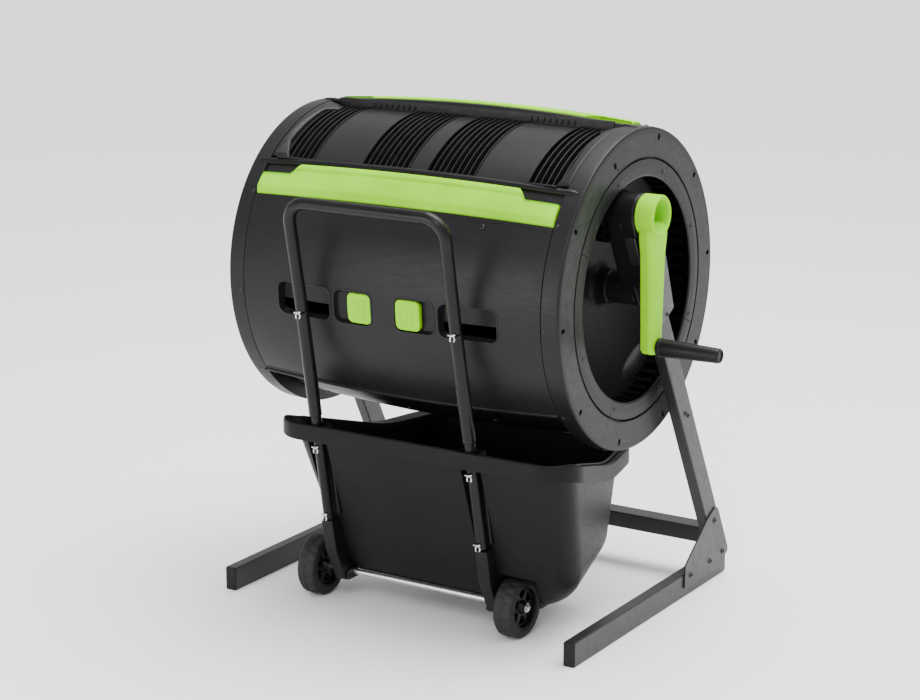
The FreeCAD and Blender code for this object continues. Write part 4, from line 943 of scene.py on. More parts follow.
def end_ring_piece(hand, side):
    """End band, soft shoulder and flat ring with its long fixing holes."""
    profile = [
        (349.0, 306.0), (349.0, 285.2), (345.3, 285.2), (345.3, 321.2), (350.0, 321.4),
        (366.0, 320.9), (FACE_X, 320.0), (FACE_X, 308.0),
    ]
    profile = soft_profile(profile, [0, 0, 0, 0.8, 0, 0, 9.0, 0], 6)
    bm, _ = revolved([(side * x, r) for x, r in profile], around, 220)
    inner = soft_profile([(FACE_X, 263.6), (FACE_X, 261.6), (374.0, 261.4)], 0.8, 3)
    lip, _ = revolved([(side * x, r) for x, r in inner], around, 180)
    merge_into(bm, lip)
    for angle, radius in rim_hole_places():
        sector = ring_sector(angle, RIM_HOLE_STEP / 2, 263.2, 308.2, radius)
        merge_into(bm, warp(sector, on_end(side, FACE_X - 5.0)))
    for angle, radius in rim_hole_places():
        y, z = polar(radius - 14.0, angle + 1.8)
        nib = plate([turned_ellipse(y, z, 7.0, 1.3, -angle + 28.0, 12)], 1.3, 0.6)
        if radius < RIM_HOLE_RADIUS:
            merge_into(bm, warp(nib, on_end(side, FACE_X - 0.5)))
        else:
            nib.free()
    mesh = clean_mesh(bm, f"rim_{hand}")
    finish_piece(mesh, f"rim_{hand}", charcoal, "drum", [f"end_ring_{hand}"], 28.0)


def band_boss_piece():
    """Small moulded bosses on the bands: a keyhole recess beside each screw."""
    bm = bmesh.new()
    for side in (-1, 1):
        for angle, _ in rim_hole_places():
            if abs((angle - VENT_ANGLE + 180) % 360 - 180) < 20:
                continue
            boss = plate([ellipse(0, 0, 5.6, 5.6, 18)], 1.0, 0.45)
            tail = plate([rounded_loop(rectangle(4.0, 17.0, -3.4, 3.4), 2.0, 3)], 0.8, 0.35)
            merge_into(boss, tail)
            bmesh.ops.translate(boss, verts=boss.verts, vec=(352.0, 0, 0))

            def place(x, y, height, side=side, angle=angle):
                turn = angle + math.degrees(y / 321.0)
                return round_drum(side * x, 320.6 + height, turn)

            merge_into(bm, warp(boss, place))
    mesh = clean_mesh(bm, "band_bosses")
    finish_piece(mesh, "band_bosses", charcoal, "drum")


def ring_cover_piece(hand, side):
    """Inner cover ring in four arcs, softly dished towards the bowl."""
    profile = [
        (374.0, COVER_INNER + 4.0), (380.4, COVER_INNER), (FACE_X - 0.3, COVER_INNER + 4.5),
        (FACE_X + 0.4, COVER_INNER + 20.0), (FACE_X, COVER_OUTER - 0.3), (374.0, COVER_OUTER - 0.3),
    ]
    profile = soft_profile(profile, 1.4, 3)
    bm = bmesh.new()
    for number in range(4):
        start = COVER_JOINT_ANGLE + 90.0 * number + 0.16
        part, rings = revolved([(side * x, r) for x, r in profile], around, 48, start, 89.68)
        for end in (rings[0], rings[-1]):
            part.faces.new(end)
        merge_into(bm, part)
    mesh = clean_mesh(bm, f"cover_ring_{hand}")
    finish_piece(mesh, f"cover_ring_{hand}", charcoal, "drum", [f"ring_cover_{hand}"])


def screw_head(radius, dome, socket):
    """Pan head with a hex socket, its base at height 0."""
    bm = bmesh.new()
    rows = []
    for r, h in ((1.0, 0.0), (1.0, 0.25), (0.93, 0.62), (0.78, 0.88), (0.60, 1.0)):
        rows.append([bm.verts.new((p.x * radius * r, p.y * radius * r, h * dome))
                     for p in ellipse(0, 0, 1, 1, 18)])
    for r, h in ((socket, 1.0), (socket, 0.3)):
        ring = []
        for i in range(18):
            turn = 2 * math.pi * i / 18
            hexagon = math.cos(math.pi / 6) / math.cos((turn % (math.pi / 3)) - math.pi / 6)
            ring.append(bm.verts.new((radius * r * hexagon * math.cos(turn),
                                      radius * r * hexagon * math.sin(turn), h * dome)))
        rows.append(ring)
    for first, second in zip(rows, rows[1:]):
        for j in range(18):
            k = (j + 1) % 18
            bm.faces.new((first[j], first[k], second[k], second[j]))
    bm.faces.new(rows[-1])
    return bm


def slot_shade_mark(size):
    """The little C-shaped slot beside each cover screw, drawn as a thin black mark: painted shade in place of the
    slot's hollow.
    """
    outer = []
    inner = []
    for i in range(11):
        turn = math.radians(-110 + 22 * i)
        outer.append(Vector((math.cos(turn), math.sin(turn))) * size)
        inner.append(Vector((math.cos(turn), math.sin(turn))) * size * 0.72)
    return plate([outer + inner[::-1]], 0.8, 0.2, None, 1)


def drum_screw_piece():
    """All the drum's screws: rim holes, bands and cover rings."""
    bm = bmesh.new()
    slot_shades = bmesh.new()
    for side in (-1, 1):
        for angle, radius in rim_hole_places():
            y, z = polar(radius, angle)
            head = screw_head(4.4, 3.0, 0.5)
            bmesh.ops.translate(head, verts=head.verts, vec=(y, z, 0))
            merge_into(bm, warp(head, on_end(side, FACE_X - 9.0)))
            if abs((angle - VENT_ANGLE + 180) % 360 - 180) < 20:
                continue
            head = screw_head(3.6, 2.2, 0.45)

            def place(x, y, height, side=side, angle=angle):
                turn = angle + math.degrees(y / 321.0)
                return round_drum(side * (352.0 + x), 321.4 + height, turn)

            merge_into(bm, warp(head, place))
        for number in range(8):
            angle = COVER_SCREW_ANGLE + 45.0 * number
            y, z = polar(COVER_OUTER - 17.0, angle)
            head = screw_head(3.4, 1.7, 0.45)
            bmesh.ops.translate(head, verts=head.verts, vec=(y, z, 0))
            merge_into(bm, warp(head, on_end(side, FACE_X + 0.2)))
            mark = slot_shade_mark(6.4)
            bmesh.ops.rotate(mark, verts=mark.verts, matrix=Matrix.Rotation(math.radians(-angle), 3, "Z"))
            bmesh.ops.translate(mark, verts=mark.verts, vec=(y, z, 0))
            merge_into(slot_shades, warp(mark, on_end(side, FACE_X - 0.2)))
    mesh = clean_mesh(bm, "drum_screw_heads")
    finish_piece(mesh, "drum_screw_heads", screw_steel, "drum", ["drum_screws"])
    # The black C marks are painted shade for the slots beside the cover screws.
    mesh = clean_mesh(slot_shades, "cover_slot_painted_shade")
    finish_piece(mesh, "cover_slot_painted_shade", black, "drum")


def end_dish_piece(hand, side):
    """Bowl-shaped end wall: a smooth hollow that rises to the long hub."""
    points = [(374.0, 261.0), (374.0, 246.2), (330.0, 246.2), (328.0, 236.0)]
    for i in range(1, 15):
        radius = 236.0 - (236.0 - 62.0) * i / 14
        share = (radius - 62.0) / 174.0
        points.append((293.0 + 35.0 * share**2.4, radius))
    points += [(292.6, 50.0), (294.5, 41.0), (300.0, 36.5), (308.0, 35.4), (322.0, 35.0)]
    points += [(323.5, 33.4), (325.0, HUB_RADIUS), (381.0, 30.0), (384.0, 27.5), (384.0, 12.9)]
    bm, _ = revolved([(side * x, r) for x, r in points], around, 180)
    mesh = clean_mesh(bm, f"end_bowl_{hand}")
    finish_piece(mesh, f"end_bowl_{hand}", tub_black, "drum", [f"end_dish_{hand}"], 40.0)


def scoop_piece():
    """Two lens-shaped hoods that stand up beside the cover ring in the right-hand bowl."""
    bm = bmesh.new()
    rows = 14
    count = 44
    for middle in (VENT_ANGLE + SCOOP_SHIFT, VENT_ANGLE + 180.0 + SCOOP_SHIFT):
        part = bmesh.new()
        rings = []
        for i in range(count + 1):
            along = -1 + 2 * i / count
            width = math.sqrt(max(0.0, 1 - along**2))
            ring = []
            for j in range(rows + 1):
                lift = math.radians(90.0 * j / rows)
                radial = SCOOP_OUTER - SCOOP_WIDE * width * math.cos(lift) ** 0.7
                height = SCOOP_BASE + SCOOP_TALL * width * math.sin(lift)
                ring.append(part.verts.new((height, radial, middle + SCOOP_HALF * along)))
            ring.append(part.verts.new((SCOOP_BASE, SCOOP_OUTER, middle + SCOOP_HALF * along)))
            rings.append(ring)
        for first, second in zip(rings, rings[1:]):
            for j in range(len(first) - 1):
                part.faces.new((first[j], first[j + 1], second[j + 1], second[j]))
        merge_into(bm, warp(part, round_drum))
    mesh = clean_mesh(bm, "bowl_scoops")
    finish_piece(mesh, "bowl_scoops", charcoal, "drum", ["dish_scoops"], 50.0)


for hand, side in (("left", -1), ("right", 1)):
    end_ring_piece(hand, side)
    ring_cover_piece(hand, side)
    end_dish_piece(hand, side)
band_boss_piece()
drum_screw_piece()
scoop_piece()
panel_screw_pieces()


# ------------------------------------------------------------------ crank

LEG_X = 407.0
TUBE_WIDE = 25.0
TUBE_TALL = 50.0
LEG_OUTER = LEG_X + TUBE_WIDE / 2
CRANK_LEAN = math.radians(20.5)
HUB_START = LEG_OUTER + 2.0
HUB_DEPTH = 40.0


def lean_point(along, across):
    """(y, z) on the line from the axle to the crank's axis."""
    y = -along * math.sin(CRANK_LEAN) + across * math.cos(CRANK_LEAN)
    z = AXIS_Z + along * math.cos(CRANK_LEAN) + across * math.sin(CRANK_LEAN)
    return y, z


def turned(y_axis, z_axis):
    """place() for a profile of (x, radius) turned about a line along X."""

    def place(x, radius, angle):
        turn = math.radians(angle)
        return spot(x, y_axis + radius * math.cos(turn), z_axis + radius * math.sin(turn))

    return place


def crank_housing_piece():
    """Teardrop casting that carries the crank's shaft, with its round top boss."""
    reach = math.hypot(CRANK_Y, CRANK_Z - AXIS_Z)
    outline = [
        lean_point(-24.0, -24.0), lean_point(22.0, -30.0), lean_point(62.0, -24.0),
        lean_point(108.0, -36.0), lean_point(reach, -41.0), lean_point(reach + 36.0, -24.0),
        lean_point(reach + 36.0, 24.0), lean_point(reach, 40.0), lean_point(90.0, 34.0),
        lean_point(-24.0, 26.0),
    ]
    blade = plate([rounded_loop(outline, [9, 30, 40, 40, 26, 30, 30, 26, 40, 9], 7)],
                  34.0, 4.0, None, 4)
    bm = warp(blade, on_side(360.0))
    cheek = [
        lean_point(-14.0, -18.0), lean_point(34.0, -31.0), lean_point(108.0, -38.0),
        lean_point(reach, -40.0), lean_point(reach, 40.0), lean_point(90.0, 38.0), lean_point(-14.0, 26.0),
    ]
    cover = plate([rounded_loop(cheek, [12, 30, 40, 10, 10, 40, 16], 7)], 60.2, 4.0, None, 4)
    merge_into(bm, warp(cover, on_side(360.0)))
    profile = [(358.0, 9.2), (358.0, 36.0), (361.0, 39.6), (417.0, 40.4), (420.6, 37.0), (420.6, 9.2)]
    boss, _ = revolved(soft_profile(profile, 3.0, 4), turned(CRANK_Y, CRANK_Z), 72)
    merge_into(bm, boss)
    mesh = clean_mesh(bm, "crank_casting")
    finish_piece(mesh, "crank_casting", black, "stand", ["crank_housing"], 40.0)


def crank_arm_piece():
    """Green hub with a deep cup, and a hanging arm creased down its length."""
    end = HUB_START + HUB_DEPTH
    hub = [
        (HUB_START, 9.2), (HUB_START, 38.5), (HUB_START + 2.5, 40.5), (end - 3.0, 40.5),
        (end, 38.0), (end, 33.5), (end - 2.5, 31.0), (end - 29.0, 29.6), (end - 30.0, 28.0),
        (end - 30.0, 0.01),
    ]
    hub = soft_profile(hub, 1.8, 3)
    bm, _ = revolved(hub, turned(CRANK_Y, CRANK_Z), 96)
    mesh = clean_mesh(bm, "crank_hub")
    finish_piece(mesh, "crank_hub", green, "crank", ["crank_arm"], 40.0)
    arm = bmesh.new()
    rings = []
    top = CRANK_Z - 30.0
    low = GRIP_Z - 15.0
    steps = 26
    x0 = HUB_START + 6.0
    for i in range(steps + 1):
        share = i / steps
        z = top + (low - top) * share
        flare = 5.0 * (1 - blend_between(0.03, 0.22, share))
        half = 27.5 - 10.5 * share + flare
        foot = blend_between(0.965, 1.0, share)
        half -= 7.0 * foot
        front = x0 + 31.0 - 2.0 * foot
        section = [
            (x0, -half + 2.0), (x0 + 18.0, -half - 1.0), (x0 + 24.0, -half + 0.6),
            (front - 0.6, -half + 8.5), (front, -half + 11.5), (front, half - 5.0),
            (front - 1.4, half - 1.5), (front - 5.0, half), (x0, half),
        ]
        ring = []
        for x, y in section:
            level = z
            if i == 0:
                level = CRANK_Z - math.sqrt(max(0.0, 35.5**2 - y**2))
            ring.append(arm.verts.new(spot(x, CRANK_Y + y, level)))
        rings.append(ring)
    for first, second in zip(rings, rings[1:]):
        for j in range(len(rings[0])):
            k = (j + 1) % len(rings[0])
            arm.faces.new((first[j], first[k], second[k], second[j]))
    for cap in (rings[0], rings[-1]):
        arm.faces.new(cap)
    mesh = clean_mesh(arm, "crank_lever")
    lever = finish_piece(mesh, "crank_lever", green, "crank", (), 50.0, False)
    soften = lever.modifiers.new("soft_edges", "BEVEL")
    soften.width = 0.0022
    soften.segments = 3
    soften.limit_method = "ANGLE"
    soften.angle_limit = math.radians(18.0)


def crank_fittings_pieces():
    """Cup bolt and the turning grip."""
    end = HUB_START + HUB_DEPTH
    bolt = screw_head(8.2, 6.0, 0.5)
    bmesh.ops.translate(bolt, verts=bolt.verts, vec=(CRANK_Y, CRANK_Z, 0))
    mesh = clean_mesh(warp(bolt, on_side(end - 30.0)), "cup_bolt")
    finish_piece(mesh, "cup_bolt", zinc, "crank", ["crank_bolt"])
    root = end - 2.6
    length = 133.6
    profile = [
        (root, 5.3), (root, 16.0), (root + 1.6, 18.4), (root + 6.0, 18.5), (root + 8.0, 17.9),
        (root + length - 6.0, 14.7), (root + length - 2.0, 14.2), (root + length, 12.4),
        (root + length, 10.6), (root + length - 2.6, 10.0), (root + length - 2.6, 0.01),
    ]
    bm, _ = revolved(soft_profile(profile, 0.9, 3), turned(CRANK_Y, GRIP_Z), 72)
    mesh = clean_mesh(bm, "hand_grip")
    finish_piece(mesh, "hand_grip", black, "grip", ["crank_grip"], 40.0)


crank_housing_piece()
crank_arm_piece()
crank_fittings_pieces()


# ------------------------------------------------------------------ stand

LEG_LEAN = math.radians(27.7)
FOOT_FRONT = -306.0
FOOT_REAR = 350.0
PLATE_THICK = 3.5


def leg_point(along, across):
    """(y, z) on the leaning leg: along it down from the axle, across towards the rear."""
    y = along * math.sin(LEG_LEAN) + across * math.cos(LEG_LEAN)
    z = AXIS_Z - along * math.cos(LEG_LEAN) + across * math.sin(LEG_LEAN)
    return y, z


def box_section(wide, tall, corner=3.0):
    return rounded_loop(rectangle(-wide / 2, wide / 2, -tall / 2, tall / 2), corner, 4)


def beam(start, end, wide, tall, cut_low=None):
    """Rounded box tube; its far end may be cut level at the height cut_low."""
    along = (end - start).normalized()
    across = Vector((1, 0, 0))
    if abs(along.x) > 0.9:
        across = Vector((0, 1, 0))
    up = along.cross(across).normalized()
    loop = box_section(wide, tall)
    bm = sweep_loop(
        [(start, across * METRES, up * METRES), (end, across * METRES, up * METRES)], loop
    )
    if cut_low is not None:
        for vert in bm.verts:
            if (vert.co - end).length < (vert.co - start).length:
                vert.co += along * ((cut_low * METRES - vert.co.z) / along.z)
    return bm


def stand_pieces():
    """Feet, legs, plates, crossbar, end plugs and bolts."""
    for hand, side in (("left", -1), ("right", 1)):
        x = side * LEG_X
        foot = beam(spot(x, FOOT_FRONT, 25.0), spot(x, FOOT_REAR, 25.0), TUBE_WIDE, TUBE_TALL)
        mesh = clean_mesh(foot, f"foot_{hand}")
        finish_piece(mesh, f"foot_{hand}", frame_paint, "stand", [f"foot_tube_{hand}"])
        top = -60.0 if side < 0 else -150.0
        y, z = leg_point(top, 0.0)
        y_low, z_low = leg_point(690.0, 0.0)
        leg = beam(spot(x, y, z), spot(x, y_low, z_low), TUBE_WIDE, TUBE_TALL, 50.2)
        mesh = clean_mesh(leg, f"leg_{hand}")
        finish_piece(mesh, f"leg_{hand}", frame_paint, "stand", [f"leg_tube_{hand}"])
        outline = [
            (292.0, 161.0), (304.0, 155.0), (356.0, 55.0), (355.0, 45.0), (315.0, 23.0),
            (168.0, 17.0), (153.0, 20.0), (154.0, 69.0), (252.0, 142.0),
        ]
        gusset = plate([rounded_loop(outline, 5.0, 4)], PLATE_THICK, 0.8, None, 3)
        mesh = clean_mesh(warp(gusset, on_side(side * LEG_OUTER, side)), f"gusset_{hand}")
        finish_piece(mesh, f"gusset_{hand}", frame_paint, "stand", [f"gusset_plate_{hand}"])
        outline = [
            (14.0, 762.0), (34.0, 748.0), (73.0, 637.0), (13.0, 602.0), (-20.0, 655.0), (-20.0, 700.0),
            (4.0, 728.0),
        ]
        hole = ellipse(0.0, AXIS_Z, 12.6, 12.6, 32)[::-1]
        cover = plate([rounded_loop(outline, 5.0, 5), hole], PLATE_THICK, 0.8, None, 3)
        mesh = clean_mesh(warp(cover, on_side(side * LEG_OUTER, side)), f"top_plate_{hand}")
        finish_piece(
            mesh, f"top_plate_{hand}", plate_paint, "stand", [f"leg_top_plate_{hand}"],
        )
    reach = LEG_X - TUBE_WIDE / 2 - 0.2
    bar = beam(spot(-reach, 307.5, 94.5), spot(reach, 307.5, 94.5), 45.0, 35.0)
    mesh = clean_mesh(bar, "rear_bar")
    finish_piece(mesh, "rear_bar", frame_paint, "stand", ["rear_crossbar"])
    caps = bmesh.new()
    for side in (-1, 1):
        for y, direction in ((FOOT_FRONT, -1), (FOOT_REAR, 1)):
            loop = box_section(TUBE_WIDE - 0.6, TUBE_TALL - 0.6, 4.0)
            plug = plate([loop], 3.0, 1.0, None, 3)
            for vert in plug.verts:
                x, z, height = vert.co
                vert.co = spot(side * LEG_X + x, y + direction * height, 25.0 + z)
            merge_into(caps, plug)
    mesh = clean_mesh(caps, "foot_plugs")
    finish_piece(mesh, "foot_plugs", black, "stand", ["foot_end_caps"])
    bolts = bmesh.new()
    face = LEG_OUTER + PLATE_THICK
    spots = [(288.0, 132.0, 6.5, face), (329.0, 52.0, 6.5, face), (270.0, 47.0, 6.5, face),
             (180.0, 43.0, 6.5, face)]
    for along, across in ((315.0, -3.0), (327.0, 4.0)):
        spots.append((*leg_point(along, across), 4.5, LEG_OUTER))
    for y, z in ((44.0, 628.0), (-14.0, 757.0)):
        spots.append((y, z, 4.5, face))
    for side in (-1, 1):
        for y, z, radius, at in spots:
            head = screw_head(radius, 2.8, 0.5)
            bmesh.ops.translate(head, verts=head.verts, vec=(y, z, 0))
            merge_into(bolts, warp(head, on_side(side * at, side)))
    mesh = clean_mesh(bolts, "stand_bolt_heads")
    finish_piece(mesh, "stand_bolt_heads", screw_steel, "stand", ["stand_bolts"])


stand_pieces()


# ------------------------------------------------------------------ bin cart

HANDLE_TOP = 868.0
HANDLE_HALF = 178.0
HANDLE_CENTRE = 12.0
HANDLE_BEND = 42.0
JOIN_HEIGHT = 645.0
SLEEVE_LOW = 420.0
TUBE_FOOT = 60.0
TUBE_END = 194.0
TUBE_RADIUS = 12.5


def handle_y(height):
    """The handle's tubes lean forwards as they rise."""
    return -282.0 - 0.195 * (height - 196.0)


def handle_point(x, height):
    return spot(HANDLE_CENTRE + x, handle_y(height), height)


def tube_x(side, height):
    """The lower tubes splay out a little towards the axle."""
    share = (660.0 - height) / (660.0 - TUBE_FOOT)
    return side * (HANDLE_HALF + 6.0 * share)


def handle_pieces():
    """Bent handle, its sleeves, and the slimmer tubes down to the axle."""
    points = [handle_point(-HANDLE_HALF, JOIN_HEIGHT), handle_point(-HANDLE_HALF, 740.0)]
    for side in (-1, 1):
        for step in range(13):
            turn = math.radians(7.5 * step)
            if side > 0:
                turn = math.pi / 2 - turn
            x = side * (HANDLE_HALF - HANDLE_BEND + HANDLE_BEND * math.cos(turn))
            height = HANDLE_TOP - HANDLE_BEND + HANDLE_BEND * math.sin(turn)
            points.append(handle_point(x, height))
        if side < 0:
            points.append(handle_point(-60.0, HANDLE_TOP))
            points.append(handle_point(60.0, HANDLE_TOP))
    points += [handle_point(HANDLE_HALF, 740.0), handle_point(HANDLE_HALF, JOIN_HEIGHT)]
    mesh = clean_mesh(pipe(points, TUBE_RADIUS, 28), "bent_handle")
    finish_piece(mesh, "bent_handle", handle_paint, "cart", ["cart_handle"], 50.0)
    for hand, side in (("left", -1), ("right", 1)):
        sleeve = [handle_point(tube_x(side, h), h) for h in (SLEEVE_LOW, 510.0, JOIN_HEIGHT - 1.0)]
        bm = pipe(sleeve, TUBE_RADIUS + 0.6, 28, 3.0)
        tube = [handle_point(tube_x(side, h), h) for h in (TUBE_END, 290.0, SLEEVE_LOW + 12.0)]
        merge_into(bm, pipe(tube, TUBE_RADIUS - 1.5, 24, 2.0))
        mesh = clean_mesh(bm, f"handle_tube_{hand}")
        finish_piece(
            mesh, f"handle_tube_{hand}", handle_paint, "cart", [f"lower_tube_{hand}"], 50.0,
        )


BIN_CENTRE = 80.0
BIN_TOP = 402.0
BIN_FLOOR = 66.5
BIN_CORNER = 52.0
RIM_OUT = 18.0
RIM_TALL = 34.0
SADDLE_RADIUS = 350.0
SADDLE_SLOPE = math.radians(15.8)
RIM_LEFT_REACH = 20.0
CHANNEL_HALF = 23.0
ARCH_RADIUS = 74.0
PILLAR_WIDE = 27.0
PILLAR_TOP = 190.0
PILLAR_LOW = 48.0
ARCH_INNER = 29.0
ARCH_OUTER = 56.0
LEFT_EXTRA = 14.0
WALL = 3.5


def rim_height(y):
    """The rim's line: level in front, then sloping down to pass under the drum."""
    turn_y = -SADDLE_RADIUS * math.sin(SADDLE_SLOPE)
    if y < turn_y:
        turn_z = AXIS_Z - SADDLE_RADIUS * math.cos(SADDLE_SLOPE)
        return min(BIN_TOP, turn_z + (turn_y - y) * math.tan(SADDLE_SLOPE))
    return AXIS_Z - math.sqrt(SADDLE_RADIUS**2 - min(0.0, y) ** 2)


def bin_plan(share, grow=0.0, front_grow=None, left_grow=None):
    """Corners of the bin's plan; share is 0 at the floor and 1 at the mouth."""
    front_grow = grow if front_grow is None else front_grow
    left_grow = grow if left_grow is None else left_grow
    drop = 1.0 - share
    front = -336.0 + 116.0 * drop - front_grow
    rear = 104.0 - 44.0 * drop + grow
    front_half = 334.0 - 41.0 * drop + grow
    rear_half = 227.0 - 22.0 * drop + grow
    return [
        (BIN_CENTRE - front_half + grow - left_grow, front), (BIN_CENTRE + front_half, front),
        (BIN_CENTRE + rear_half, rear), (BIN_CENTRE - rear_half, rear),
    ]


def tub_loop(share, grow):
    """Plan loop of the tub wall at one height, the same number of points at each."""
    loop = rounded_loop(bin_plan(share, grow, 0.12 * grow, 0.3 * grow), BIN_CORNER + 0.35 * grow, 8)
    made = []
    corner = 9
    counts = (64, 26, 26, 26)
    for index in range(4):
        arc = loop[index * corner:(index + 1) * corner]
        following = loop[((index + 1) % 4) * corner]
        made += arc
        for step in range(1, counts[index]):
            made.append(arc[-1].lerp(following, step / counts[index]))
    return made


def in_arch(x, y, z):
    """True where the tub's wall gives way to the arch over a wheel."""
    radius = math.hypot(y - WHEEL_Y, z - WHEEL_Z)
    inner = WHEEL_X - ARCH_INNER - (LEFT_EXTRA if x < 0.0 else 0.0)
    return inner < abs(x) < WHEEL_X + ARCH_OUTER and radius < ARCH_RADIUS


def tub_shell_piece():
    """Tapered tub with a rounded floor edge, tube channels and wheel arches."""
    bm = bmesh.new()
    levels = []
    round_low = 84.0
    for i in range(15):
        turn = math.radians(90.0 * i / 14)
        levels.append((BIN_FLOOR + round_low * (1 - math.cos(turn)), round_low * (1 - math.sin(turn))))
    for i in range(1, 31):
        levels.append((BIN_FLOOR + round_low + (BIN_TOP + 4 - BIN_FLOOR - round_low) * i / 30, 0.0))
    rings = []
    for height, inset in levels:
        share = (height - BIN_FLOOR) / (BIN_TOP - BIN_FLOOR)
        ring = []
        for point in tub_loop(share, -inset):
            ring.append(bm.verts.new((point.x, point.y, height)))
        rings.append(ring)
    for first, second in zip(rings, rings[1:]):
        for j in range(len(first)):
            k = (j + 1) % len(first)
            bm.faces.new((first[j], first[k], second[k], second[j]))
    bm.faces.new(rings[0])
    bmesh.ops.recalc_face_normals(bm, faces=bm.faces)
    # Each channel is cut to its outline, and its wall is set back behind the tube.
    for side in (-1, 1):
        middle = HANDLE_CENTRE + side * (HANDLE_HALF + 3.0)
        for edge_x in (middle - CHANNEL_HALF, middle - CHANNEL_HALF + 3.0,
                       middle + CHANNEL_HALF - 3.0, middle + CHANNEL_HALF):
            bmesh.ops.bisect_plane(
                bm, geom=bm.verts[:] + bm.edges[:] + bm.faces[:],
                plane_co=(edge_x, 0, 0), plane_no=(1, 0, 0), dist=0.01,
            )
    for vert in bm.verts:
        x, y, z = vert.co
        if y > -200.0:
            continue
        for side in (-1, 1):
            away = abs(x - HANDLE_CENTRE - side * (HANDLE_HALF + 3.0))
            if away < CHANNEL_HALF - 0.5:
                back = handle_y(z) + TUBE_RADIUS + 4.0
                if back > y:
                    vert.co.y = back
    drop = []
    for vert in bm.verts:
        limit = rim_height(vert.co.y) - 1.0
        if vert.co.z > limit:
            vert.co.z = limit
    bmesh.ops.dissolve_degenerate(bm, edges=bm.edges, dist=0.01)
    for side in (-1, 1):
        inner = WHEEL_X - ARCH_INNER - (LEFT_EXTRA if side < 0 else 0.0)
        planes = [((side * inner, 0, 0), (1, 0, 0)), ((side * (WHEEL_X + ARCH_OUTER), 0, 0), (1, 0, 0))]
        for step in range(25):
            turn = math.radians(7.5 * step)
            outward = (0.0, math.cos(turn), math.sin(turn))
            point = (0.0, WHEEL_Y + ARCH_RADIUS * outward[1], WHEEL_Z + ARCH_RADIUS * outward[2])
            planes.append((point, outward))
        for point, normal in planes:
            near = []
            for face in bm.faces:
                middle = face.calc_center_median()
                if side * middle.x > 120.0 and middle.y < -100.0 and middle.z < 190.0:
                    near.append(face)
            edges = {edge for face in near for edge in face.edges}
            verts = {vert for face in near for vert in face.verts}
            bmesh.ops.bisect_plane(
                bm, geom=near + list(edges) + list(verts), plane_co=point, plane_no=normal, dist=0.01,
            )
    for side in (-1, 1):
        for face in bm.faces:
            middle = face.calc_center_median()
            if middle.y < -120.0 and side * middle.x > 0 and in_arch(*middle):
                drop.append(face)
    bmesh.ops.delete(bm, geom=list(set(drop)), context="FACES")
    warp(bm, spot)
    mesh = clean_mesh(bm, "tub_shell")
    tub = finish_piece(mesh, "tub_shell", tub_black, "cart", ["bin_tub"], 38.0, False)
    wall = tub.modifiers.new("wall", "SOLIDIFY")
    wall.thickness = WALL * METRES
    wall.offset = -1.0
    shading = tub.modifiers.new("even_shading", "WEIGHTED_NORMAL")
    shading.keep_sharp = True


def wheel_arch_piece():
    """Linings of the arches over the wheels, trimmed to the tub's front wall and floor."""
    bm = bmesh.new()
    steps = 48
    for side in (-1, 1):
        near = side * (WHEEL_X - ARCH_INNER - (LEFT_EXTRA if side < 0 else 0.0))
        far = side * (WHEEL_X + ARCH_OUTER)
        arc = []
        for i in range(steps + 1):
            turn = math.radians(190.0 * i / steps)
            arc.append((WHEEL_Y + ARCH_RADIUS * math.cos(turn), WHEEL_Z + ARCH_RADIUS * math.sin(turn)))
        for first, second in zip(arc, arc[1:]):
            barrel = [(near, *first), (far, *first), (far, *second), (near, *second)]
            bm.faces.new([bm.verts.new(corner) for corner in barrel])
            for x in (near, far):
                fan = [(x, *first), (x, *second), (x, WHEEL_Y, WHEEL_Z)]
                bm.faces.new([bm.verts.new(corner) for corner in fan])
    bmesh.ops.remove_doubles(bm, verts=bm.verts, dist=0.01)
    front_low = bin_plan(0.0)[0][1] + 3.0
    front_high = bin_plan(1.0)[0][1] + 3.0
    corners = bin_plan(0.0, -6.0)
    left_wall = (corners[0][1] - corners[3][1], corners[3][0] - corners[0][0], 0.0)
    for point, normal in (
        ((0, front_low, BIN_FLOOR), (0, BIN_FLOOR - BIN_TOP, front_high - front_low)),
        ((corners[0][0], corners[0][1], BIN_FLOOR), left_wall),
        ((0, 0, BIN_FLOOR + 1.0), (0, 0, -1)),
    ):
        bmesh.ops.bisect_plane(
            bm, geom=bm.verts[:] + bm.edges[:] + bm.faces[:], plane_co=point, plane_no=normal,
            clear_outer=True, dist=0.01,
        )
    bmesh.ops.recalc_face_normals(bm, faces=bm.faces)
    warp(bm, spot)
    mesh = clean_mesh(bm, "wheel_arches")
    piece = finish_piece(mesh, "wheel_arches", tub_black, "cart")
    wall = piece.modifiers.new("wall", "SOLIDIFY")
    wall.thickness = 0.0025


